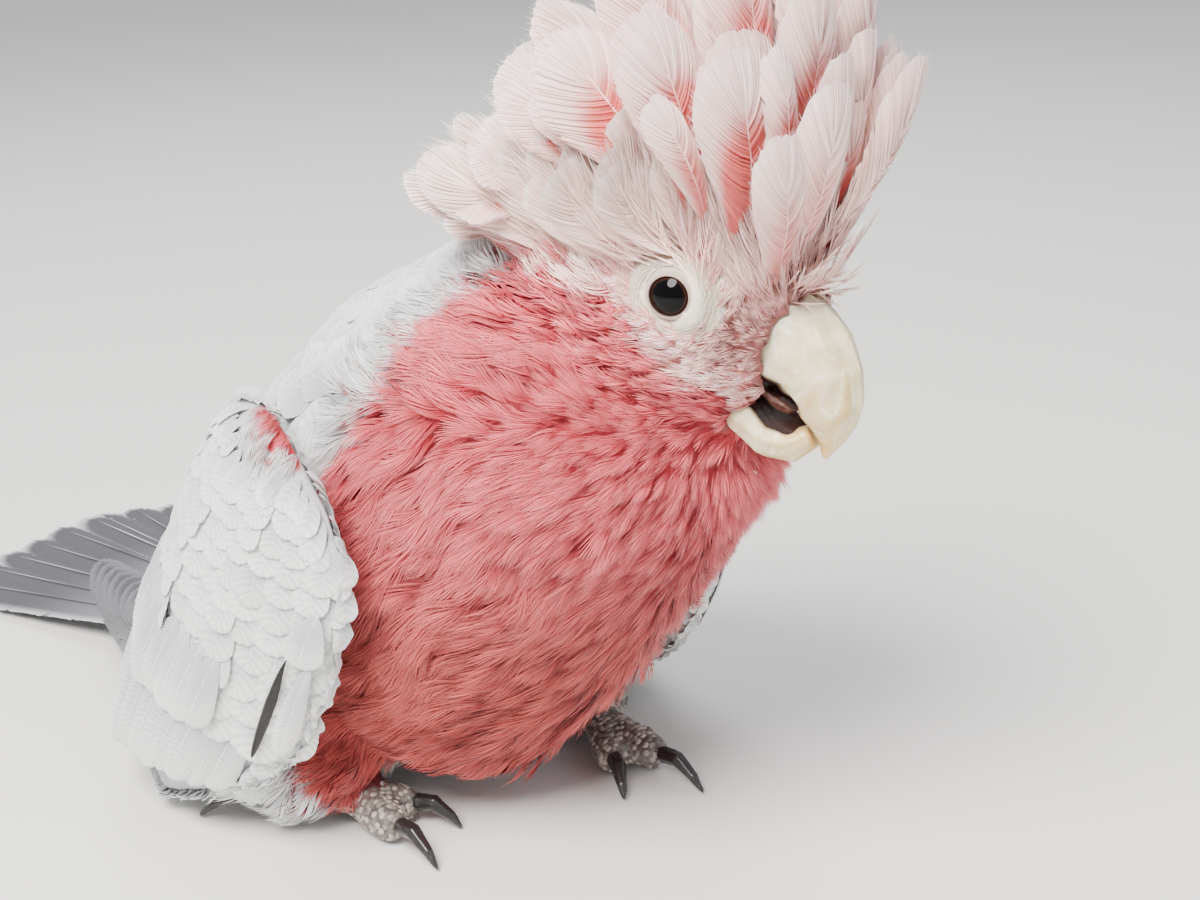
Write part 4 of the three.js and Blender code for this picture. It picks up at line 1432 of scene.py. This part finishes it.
def lidHeights(ground, radius, edge, turn, random):
    # how far the lids stand above their plane, in mm, and how they fold
    ball = np.sqrt(eyeball["radius"] ** 2 - np.minimum(radius, 4.2) ** 2)
    height = blend(ball + lids["overBall"], ground + lids["above"], fade(radius, *lids["meets"]))
    height += lids["rim"] * np.exp(-(((radius - lids["rimAt"]) / lids["rimWidth"]) ** 2))
    height -= lids["tuck"] * fade(radius, *lids["tucked"])
    wobble = 0.3 * np.sin(3 * turn + 1) + 0.16 * np.sin(7 * turn + 2.2) + 0.1 * np.sin(13 * turn)
    wave = np.sin((radius + wobble) / lids["foldGap"] * 2 * math.pi)
    broken = 0.65 + 0.35 * np.sin(5 * turn + radius * 1.7) * np.sin(11 * turn - radius)
    bare = edge - lids["skirt"]
    span = fade(radius, *lids["folded"]) * fade(radius, bare + 0.4, bare - 1)
    pebble = random.normal(0, 1, radius.shape)
    pebble = (pebble + np.roll(pebble, 1, 1) + np.roll(pebble, 1, 0)) / 3
    height += lids["fold"] * wave * broken * span + lids["pebble"] * pebble * fade(radius, *lids["pebbled"])
    height -= lids["end"] * fade(radius, edge - lids["skirt"] * 0.8, edge)
    dome = np.sqrt(np.maximum(eyeball["radius"] ** 2 - radius**2, 0)) + lids["clear"]
    inner, outer = lids["clearOf"]
    height = np.where(radius > inner, np.maximum(height, np.where(radius < outer, dome, -9)), height)
    return height, wave * broken * span


def lidMaterial(side):
    shader = Shader("lids_" + side)
    fold, rim = shader.attribute("fold"), shader.attribute("rim")
    mottle = shader.noise(500, 3)
    # lighter on the raised folds and darker in their hollows: painted shade in the creases
    raised = shader.fade(fold + (mottle - 0.5) * 0.8, -0.9, 0.7)
    colour = shader.mix(raised, paint(160, 138, 122), paint(212, 199, 184))
    colour = shader.mix(shader.fade(rim, 3.75, 3.2), colour, paint(176, 150, 138))
    colour = shader.mix(shader.fade(rim, 3.2, 2.95), colour, paint(48, 34, 30))
    normal = shader.bump(shader.noise(1400, 3), 0.2 * mm, 0.8)
    return shader.finish(colour=colour, roughness=0.5, normal=normal, glow=0.15, glowScale=0.002)


def makeLids(side):
    # a disc with a hole, from under the feathers in to the eyeball
    out, ahead, up = eyeAxes(side)
    random = np.random.default_rng(31 if side == "left" else 32)
    turn = turns(lids["spokes"])
    edge = ringEdge(turn) + lids["skirt"]
    share = np.linspace(0, 1, lids["rings"])[:, None]
    radius = lids["inside"] + (edge - lids["inside"]) * share
    x = radius * np.cos(turn) * (1 + lids["oval"] * (1 - share))
    y = radius * np.sin(turn)
    places = eyes[side] + mm * (x[..., None] * ahead + y[..., None] * up)
    height, folds = lidHeights(groundUnder(places, out), radius, edge, turn, random)
    points = places + height[..., None] * mm * out
    faces = faceIn(polarMesh(lids["rings"], lids["spokes"]), ahead, up, out)
    ring = makeObject("lids_" + side, points.reshape(-1, 3), faces, lidMaterial(side))
    setValues(ring, "fold", folds.ravel())
    setValues(ring, "rim", radius.ravel())


# Bill and tongue, in the head's frame.
bill = {
    "upper": [(0, -16.5, 0), (0, -22, -0.5), (0, -27, -3), (0, -30.8, -7.5), (0, -32.4, -12.2),
              (0, -32.6, -16.6)],
    "lower": [(0, -13, -9.5), (0, -18, -13), (0, -23.5, -15.6), (0, -27.8, -15), (0, -30, -12.2)],
    "wide": {"upper": ([0, 0.21, 0.42, 0.64, 0.83, 1], [7.4, 7.9, 7.1, 5.4, 3.3, 1]),
             "lower": ([0, 0.3, 0.61, 0.82, 1], [5, 6.6, 6.4, 4.8, 2.6])},
    "voxel": 0.36, "relax": 14, "flake": 0.09, "grain": 0.05, "samples": 80, "slim": 0.3,
    "gape": {"upper": 0.9, "lower": 0.2},  # how far the sides that face the mouth draw back
    "hollow": {"upper": 2.4, "lower": 2.2}, "hollowWide": 0.72,
    "ridge": 0.42, "groove": 0.14,  # along the top of the upper half, and beside it
}
tongue = {"voxel": 0.3, "relax": 6, "bumps": 1.6, "rough": 0.06}


def alongLine(points, line):
    # beside each point: the share of the line's length, the place there, and the way to its mouth side
    line = np.array(line, float)
    passed = np.concatenate([[0], np.cumsum(np.linalg.norm(np.diff(line, axis=0), axis=1))])
    share = np.linspace(0, 1, bill["samples"])
    fine = np.stack([np.interp(share * passed[-1], passed, line[:, k]) for k in range(3)], axis=1)
    for _ in range(20):
        fine[1:-1] = (fine[:-2] + 2 * fine[1:-1] + fine[2:]) / 4
    ahead = unit(np.gradient(fine, axis=0))
    index = np.argmin(((points[:, None] - fine) ** 2).sum(2), axis=1)
    down = np.stack([np.zeros(len(fine)), -ahead[:, 2], ahead[:, 1]], axis=1)
    return share[index], fine[index], down[index]


def openBill(name, place):
    # narrows the hook, raises the ridge and hollows the sides that face the mouth
    share, centre, side = alongLine(place, bill[name])
    side = side if name == "upper" else -side
    offset = ((place - centre) * side).sum(1)
    aside = np.abs(place[:, 0])
    near = aside / np.interp(share, *bill["wide"][name])
    middle = np.maximum(1 - (near / bill["hollowWide"]) ** 2, 0)
    draw, hollow = bill["gape"][name], bill["hollow"][name]
    if name == "upper":
        pull = draw * fade(share, 0.2, 0.45) * fade(share, 0.75, 0.6)
        pull = pull * fade(offset, 1.2, 4.5)
        pull += hollow * middle * fade(offset, 1.5, 4) * fade(share, 0.85, 0.65)
        ridge = bill["ridge"] * np.exp(-((aside / 1.5) ** 2))
        ridge = ridge - bill["groove"] * np.exp(-(((aside - 3.2) / 0.9) ** 2))
        pull += ridge * fade(offset, 0, -2) * fade(share, 0.05, 0.3) * fade(share, 0.98, 0.8)
        slim = 1 - bill["slim"] * fade(share, 0.7, 0.95)[:, None]
        place = centre + (place - centre) * slim
        inside = fade(near, 0.9, 0.76) * fade(offset, 2.5, 4.2) * fade(share, 0.86, 0.74)
    else:
        pull = draw * fade(share, 0.08, 0.4) * fade(share, 1.05, 0.8) * fade(offset, -0.5, 1.8)
        pull += hollow * middle * fade(offset, -0.3, 1.4) * fade(share, 0.9, 0.7)
        inside = fade(near, 0.86, 0.72) * fade(offset, 0.6, 1.8) * fade(share, 0.94, 0.8)
    return place - side * pull[:, None], share, inside


def waves(places, random, count=16):
    # smooth noise: a sum of plane waves about one unit long, with a spread near 1
    total = np.zeros(len(places))
    for _ in range(count):
        way = unit(random.normal(0, 1, places.shape[1])) * random.uniform(3.5, 8)
        total += np.sin(places @ way + random.uniform(0, 6.3))
    return total / math.sqrt(count / 2)


def refined(name, voxel, rounds):
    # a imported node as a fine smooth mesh
    shape = Surface(*remeshed(*nodeShape(name), voxel * mm))
    points = shape.relax(shape.points, rounds)
    return shape, points, shape.normals(points)


def hornMaterial():
    shader = Shader("bill")
    reach, flake = shader.attribute("reach"), shader.attribute("flake")
    grain = shader.noise(260, 4)
    fine = shader.noise(1300, 3)
    ivory = shader.mix(shader.fade(grain, 0.35, 0.65), paint(206, 190, 144), paint(228, 217, 182))
    base = shader.mix(grain, paint(176, 170, 148), paint(212, 208, 188))
    colour = shader.mix(shader.fade(reach + (grain - 0.5) * 0.3, 0.1, 0.42), base, ivory)
    tan = shader.fade(flake + (grain - 0.5) * 0.6, 0.45, 1.0) * shader.fade(reach, 0.2, 0.75)
    colour = shader.mix(tan * 0.75, colour, paint(190, 150, 84))
    colour = shader.mix(shader.fade(reach, 0.5, 1.0) * 0.6, colour, paint(208, 172, 98))
    colour = shader.mix(shader.attribute("line") * 0.5, colour, paint(250, 246, 230))
    # the sides that face the mouth are painted near black: painted shade inside the open mouth
    mouth = shader.mix(grain, paint(26, 14, 11), paint(84, 52, 42))
    colour = shader.mix(shader.attribute("inside"), colour, mouth)
    normal = shader.bump(fine + grain * 2, 0.1 * mm, 0.45)
    roughness = 0.3 + fine * 0.25
    return shader.finish(colour=colour, roughness=roughness, normal=normal, coat=0.25, coatRoughness=0.3,
                         glow=0.1, glowScale=0.002)


def makeBill(random):
    material = hornMaterial()
    for name in ("upper", "lower"):
        shape, points, normals = refined("bill_" + name, bill["voxel"], bill["relax"])
        place, share, inside = openBill(name, inHead(points))
        points = fromHead(place)
        plates = waves(np.stack([place[:, 0] / 4, share * 4, place[:, 1] / 9], axis=1), random)
        grooves = waves(np.stack([place[:, 0] / 2.2, share * 2.5, place[:, 0] / 3], axis=1), random)
        raised = fade(plates, -0.12, 0.12) + 0.5 * fade(plates, 0.9, 1.1)
        points = points + normals * ((raised - 0.6) * bill["flake"] + grooves * bill["grain"])[:, None] * mm
        piece = makeObject("bill_" + name + "_horn", points, shape.faces, material)
        setValues(piece, "reach", share)
        setValues(piece, "flake", raised / 1.5)
        setValues(piece, "line", np.exp(-((plates / 0.13) ** 2)))
        # inside: where the painted shade of the open mouth goes
        setValues(piece, "inside", inside)
        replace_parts(piece, "bill_" + name)


def makeTongue(random):
    shader = Shader("tongue")
    grain = shader.noise(600, 3)
    colour = shader.mix(grain, paint(64, 36, 30), paint(122, 78, 68))
    material = shader.finish(colour=colour, roughness=0.42, normal=shader.bump(grain, 0.2 * mm, 0.6))
    shape, points, normals = refined("tongue", tongue["voxel"], tongue["relax"])
    rough = waves(inHead(points) / tongue["bumps"], random)[:, None] * tongue["rough"]
    points = points + normals * rough * mm
    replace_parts(makeObject("tongue_flesh", points, shape.faces, material), "tongue")


# The cere: a dark swelling round each nostril, with bristles over it.
cere = {
    "aside": 3.0, "high": 7.2, "radius": 2.3, "pit": 0.75, "rings": 16, "spokes": 36, "squashed": 0.85,
    "lip": 0.55, "lipAt": 1.15, "lipWide": 0.55, "deep": 1.1, "sunk": 0.9, "lobes": 0.08,
}
bristles = {
    "count": 46, "wide": 5.6, "low": 5.6, "top": 9.5, "long": 6.5, "width": 0.85, "rooted": 0.4, "curl": 0.18,
}


def frontOf(x, z):
    # the place on the face met from in front at head frame x and z, and the way out of it
    start = fromHead(np.array([[x, -60.0, z]]))[0]
    ahead = headTurn @ np.array([0, 1.0, 0])
    hit = skinTree.ray_cast(Vector(start), Vector(ahead), 0.1)
    return np.array(hit[0]), surfaceNormals[closest(np.array([hit[0]]))[0]]


def makeCere():
    shader = Shader("cere")
    grain = shader.noise(900, 3)
    hole = shader.attribute("hole")
    colour = shader.mix(grain, paint(88, 48, 46), paint(146, 100, 92))
    # the nostril's pit is painted near black: painted shade inside the opening
    colour = shader.mix(hole, colour, paint(18, 8, 9))
    material = shader.finish(colour=colour, roughness=0.5, normal=shader.bump(grain, 0.12 * mm, 0.6))
    faces = polarMesh(cere["rings"], cere["spokes"])
    turn = turns(cere["spokes"])
    radius = np.linspace(0.05, 1, cere["rings"])[:, None] ** 0.8 * cere["radius"]
    hollow = cere["deep"] * fade(radius, cere["pit"] + 0.15, cere["pit"] - 0.35)
    rise = cere["lip"] * np.exp(-(((radius - cere["lipAt"]) / cere["lipWide"]) ** 2)) - hollow
    rise = rise - cere["sunk"] * fade(radius, 1.5, cere["radius"])
    rise = rise + cere["lobes"] * np.sin(5 * turn) * (radius > 1)
    # where the painted shade of the nostril opening lies
    dark = fade(radius, cere["pit"] + 0.1, cere["pit"] - 0.25) * np.ones_like(turn)
    for name, sign in signs.items():
        centre, out = frontOf(cere["aside"] * sign, cere["high"])
        first = unit(np.cross(out, headTurn @ np.array([0, 0, 1.0])))
        second = np.cross(first, out)
        points = centre + mm * ((radius * np.cos(turn))[..., None] * first
                                + (radius * cere["squashed"] * np.sin(turn))[..., None] * second
                                + rise[..., None] * out)
        faces = faceIn(faces, first, second, out)  # turned back the second time, so the right one looks out
        piece = makeObject("nostril_" + name, points.reshape(-1, 3), faces, material)
        setValues(piece, "hole", dark.ravel())


def makeBristles(plume, thin, random):
    lines, fronts, lengths = [], [], []
    t = np.linspace(0, 1, loresLook["keys"] + 1)[:, None]
    for _ in range(int(bristles["count"] / thin)):
        x = random.uniform(-1, 1) * bristles["wide"]
        place, out = frontOf(x, random.uniform(bristles["low"], bristles["top"]))
        up = headTurn @ np.array([0, 0, 1.0])
        heading = unit(out + up * random.uniform(-0.1, 0.8) + random.normal(0, 0.25, 3))
        length = bristles["long"] * random.uniform(0.6, 1.1)
        line = place - out * bristles["rooted"] * mm + heading * t * length * mm
        lines.append(line + up * t**2 * bristles["curl"] * length * mm)
        fronts.append(np.broadcast_to(up, (len(t), 3)))
        lengths.append(length * mm)
    widths = np.full(len(lines), bristles["width"] * mm)
    tones = evenTones(len(lines), grey=0, pale=1, crown=1)
    feathers = Feathers(np.array(lines), np.array(fronts), np.array(lengths), widths, tones)
    layFeathers("bristles", feathers, {**loresLook, "barbs": 3, "shaft": 0.16}, plume, random)


# Claws: dark horn with a paler edge, ridged along their length.
claws = {"voxel": 0.28, "relax": 26, "ridge": 0.03}


def makeClaws():
    shader = Shader("claw")
    grain = shader.noise(500, 3)
    edge = shader.attribute("edge")
    colour = shader.mix(grain, paint(20, 18, 19), paint(44, 40, 40))
    colour = shader.mix(edge * 0.5, colour, paint(96, 86, 80))
    material = shader.finish(colour=colour, roughness=0.3 + grain * 0.16, coat=0.25, coatRoughness=0.12,
                             normal=shader.bump(grain, 0.1 * mm, 0.4))
    random = np.random.default_rng(51)
    for side in eyes:
        for toe in ("inner_front", "outer_front", "outer_back", "inner_back"):
            name = f"claw_{side}_{toe}"
            shape, points, normals = refined(name, claws["voxel"], claws["relax"])
            centre = points.mean(0)
            axis = np.linalg.svd(points - centre, full_matrices=False)[2]
            place = (points - centre) @ axis.T / mm
            lines = waves(place * (0.1, 0.9, 0.9), random)
            points = points + normals * lines[:, None] * claws["ridge"] * mm
            piece = makeObject(name + "_horn", points, shape.faces, material)
            setValues(piece, "edge", fade(-normals[:, 2], 0.4, 0.95))
            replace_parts(piece, name)


# Toes: small domed scales over the skin of the feet.
scutes = {"gap": 1.0, "radius": 0.66, "height": 0.26, "rings": 4, "spokes": 9, "lowest": 0.6}


def makeScutes(thin):
    random = np.random.default_rng(61)
    above = onFoot & (surface[:, 2] > scutes["lowest"] * mm)
    seeds = scatter(np.flatnonzero(above), np.full(len(surface), scutes["gap"] * thin), random)
    out = surfaceNormals[seeds]
    first = unit(np.cross(out, unit(random.normal(0, 0.3, out.shape) + (0, 1, 0))))
    second = np.cross(out, first)
    turn = turns(scutes["spokes"])
    rings = np.linspace(0.1, 1, scutes["rings"])[:, None]
    x, y = rings * np.cos(turn), rings * np.sin(turn)
    dome = np.cos(rings * math.pi / 2) ** 0.6 * np.ones_like(turn) - 0.35 * (rings > 0.99)
    size = scutes["radius"] * random.uniform(0.75, 1.1, len(seeds)) * mm
    stretch = random.uniform(1.0, 1.35, len(seeds))
    points = (skinPoints[seeds][:, None, None]
              + (size * stretch)[:, None, None, None] * x[None, ..., None] * first[:, None, None]
              + size[:, None, None, None] * y[None, ..., None] * second[:, None, None]
              + scutes["height"] * mm * dome[None, ..., None] * out[:, None, None])
    faces = polarMesh(scutes["rings"], scutes["spokes"])
    caps = np.array([[0, k, k + 1, k + 1] for k in range(1, scutes["spokes"] - 1)])
    faces = np.concatenate([np.concatenate([faces[:, :3], faces[:, [0, 2, 3]]]), caps[:, :3]])
    per = scutes["rings"] * scutes["spokes"]
    faces = (faces[None] + np.arange(len(seeds))[:, None, None] * per).reshape(-1, 3)
    shader = Shader("scutes")
    chance, mottle = shader.attribute("chance"), shader.noise(700, 3)
    worn = shader.fade(mottle + (chance - 0.5) * 0.5, 0.3, 0.7)
    colour = shader.mix(worn, paint(112, 103, 98), paint(182, 172, 162))
    material = shader.finish(colour=colour, roughness=0.7, normal=shader.bump(mottle, 0.1 * mm, 0.5))
    piece = makeObject("toe_scales", points.reshape(-1, 3), faces, material)
    setValues(piece, "chance", np.repeat(random.uniform(0, 1, len(seeds)), per))
    homes = mapPlace(skinPoints[seeds], nearest(patchTree, skinPoints[seeds])[0])
    offset = np.stack([x.ravel(), y.ravel()], axis=1) * unwrap["patch"] / 2
    setMap(piece, np.clip(homes[:, None] + offset, 0, 1).reshape(-1, 2)[faces.ravel()])
    print(f"  toe scales: {len(seeds)}, {len(faces)} triangles")


# Tail and flight feathers: long closed vanes with a stout shaft.
quillLook = {
    "length": 120, "width": 16, "barbs": 90, "closed": True, "ridge": 0.09, "start": 0.08, "slant": 0.09,
    "broad": 0.9, "straight": 0.85, "foot": 0.55, "bow": 0.4, "loose": 0.004, "camber": 0.012, "puff": 0.003,
    "lean": 0, "steps": 5, "shaft": 1.0, "shaftRise": 0.004, "variants": 3, "roll": 0.006,
    "keys": 10, "wander": 0, "clumps": 0,
}
flightLook = {**quillLook, "broad": 0.8, "straight": 0.74, "slant": 0.11, "shaft": 0.8}
tail = {"pairs": 6, "length": 0.995, "width": 16, "drop": 6.2, "spreadRoot": 1.4, "spreadTip": 3.6,
        "shorter": 0.012, "layer": 0.5, "between": 0.25, "aside": 0.8, "arch": 0.012}
flights = {
    # where the wing's folded tip runs, in shares of its box
    "line": [(0.83, 0.0, 0.76), (0.67, 0.3, 0.52), (0.36, 0.63, 0.29), (0.05, 0.995, 0.12)],
    "count": 9, "width": 12.5, "layer": 0.3, "across": (-0.66, 0, 0.75), "aside": 1.5,
    "tilt": 0.3, "raised": 3.2,  # how the tips lie over the tail
}


def quillMaterial(name, pale, root="slateBase", body="slate"):
    shader = Shader(name)
    along, tip = shader.attribute("along"), shader.attribute("tip")
    chance, barb = shader.attribute("chance"), shader.attribute("barb")
    base = shader.mix(shader.fade(along, 0.25, 0.75), tints[root], tints[body])
    edge = shader.fade(tip + (chance - 0.5) * 0.2, 0.62, 0.98)
    colour = shader.mix(edge * pale, base, tints["slateEdge"])
    colour = shader.shaded(colour, 0.92 + (barb - 0.5) * 0.08)
    return shader.finish(colour=colour, roughness=0.55, sheen=0.1, sheenRoughness=0.4, specular=0.35)


def makeTail():
    random = np.random.default_rng(71)
    low, high = (np.array(corner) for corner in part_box("tail"))
    lines, lengths = [], []
    full = (high[1] - low[1]) * tail["length"]
    t = np.linspace(0, 1, quillLook["keys"] + 1)
    for pair in range(tail["pairs"]):
        for sign in (-1, 1):
            splay = math.radians(tail["spreadTip"] * pair + tail["aside"]) * sign
            drop = math.radians(tail["drop"])
            length = full / math.cos(drop) * (1 - tail["shorter"] * pair) * random.uniform(0.985, 1)
            under = 1 + tail["layer"] * pair + tail["between"] * (sign > 0)
            root = np.array([sign * tail["spreadRoot"] * pair * mm, low[1], high[2] - under * mm])
            heading = np.array([math.sin(splay), math.cos(splay), -math.sin(drop)])
            arch = t[:, None] ** 2 * (0, 0, tail["arch"]) * length
            lines.append(root + t[:, None] * heading * length + arch)
            lengths.append(length)
    count = len(lines)
    faces = np.broadcast_to((0, 0, 1.0), (count, len(t), 3))
    tones = evenTones(count, grey=1, pale=0)
    feathers = Feathers(np.array(lines), faces, np.array(lengths), np.full(count, tail["width"] * mm), tones)
    layFeathers("tail_feathers", feathers, quillLook, quillMaterial("tail", 0.9), random)
    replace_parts(bpy.data.objects["tail_feathers"], "tail")


def makeFlights(side):
    random = np.random.default_rng(72)
    sign = signs[side]
    low, high = (np.array(corner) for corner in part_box("flight_" + side))
    shares = np.array(flights["line"])
    if sign < 0:
        shares = shares * (-1, 1, 1) + (1, 0, 0)
    path = low + (high - low) * shares
    across = unit(np.array(flights["across"]) * (sign, 1, 1))
    knots = np.linspace(0, 1, len(path))
    middle = (flights["count"] - 1) / 2
    lines, faces, lengths = [], [], []
    for k in range(flights["count"]):
        end = 0.5 + 0.5 * k / (flights["count"] - 1)
        t = np.linspace(0.02, end, quillLook["keys"] + 1)
        line = np.stack([np.interp(t, knots, path[:, axis]) for axis in range(3)], axis=1)
        ahead = unit(line[-1] - line[0])
        face = unit(np.cross(across, ahead)) * sign
        face = face * np.sign(face[2])
        fan = np.linspace(0, 1, len(t))[:, None]
        turned = unit(blend(face, np.array([sign * flights["tilt"], 0, 1]), fan**0.7))
        line = line + across * flights["aside"] * (middle - k) * mm * (1 - 0.5 * fan)
        line += fan * np.array([0, 0, flights["raised"] * mm]) - turned * k * flights["layer"] * mm
        lines.append(line)
        faces.append(turned)
        lengths.append(np.linalg.norm(np.diff(line, axis=0), axis=1).sum())
    count = len(lines)
    tones = evenTones(count, grey=1, pale=0)
    widths = np.full(count, flights["width"] * mm)
    feathers = Feathers(np.array(lines), np.array(faces), np.array(lengths), widths, tones)
    name = "flight_feathers_" + side
    layFeathers(name, feathers, flightLook, quillMaterial(name, 0.18), random)
    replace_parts(bpy.data.objects[name], "flight_" + side)


# The studio floor.
studio = {"reach": 30.0, "below": 0.0002}  # in metres: it lies just under the feet


def makeFloor():
    shader = Shader("floor")
    colour = shader.mix(shader.noise(3, 2), paint(226, 224, 220), paint(232, 230, 227))
    material = shader.finish(colour=colour, roughness=0.8)
    corners = [(-1, -1), (1, -1), (1, 1), (-1, 1)]
    points = np.array([(x * studio["reach"], y * studio["reach"], -studio["below"]) for x, y in corners])
    mesh = bpy.data.meshes.new("floor")
    mesh.from_pydata(points.tolist(), [], [(0, 1, 2, 3)])
    mesh.materials.append(material)
    floor = bpy.data.objects.new("floor", mesh)
    scene.collection.objects.link(floor)


print("camera and light")
makeCamera()
makeLights()
makeFloor()
print("skin")
makeSkin()
print("coat")
plume = plumage()
thin = 1.0
makeCoat(plume, thin)
print("wings")
for side in eyes:
    makeWing(side, plume, thin)
    makeFlights(side)
makeTail()
print("crest")
makeCrest()
print("eyes, bill and feet")
for side in eyes:
    makeEyeball(side)
    makeLids(side)
mouthRandom = np.random.default_rng(41)
makeBill(mouthRandom)
makeTongue(mouthRandom)
makeCere()
makeBristles(plume, thin, np.random.default_rng(45))
makeClaws()
makeScutes(thin)
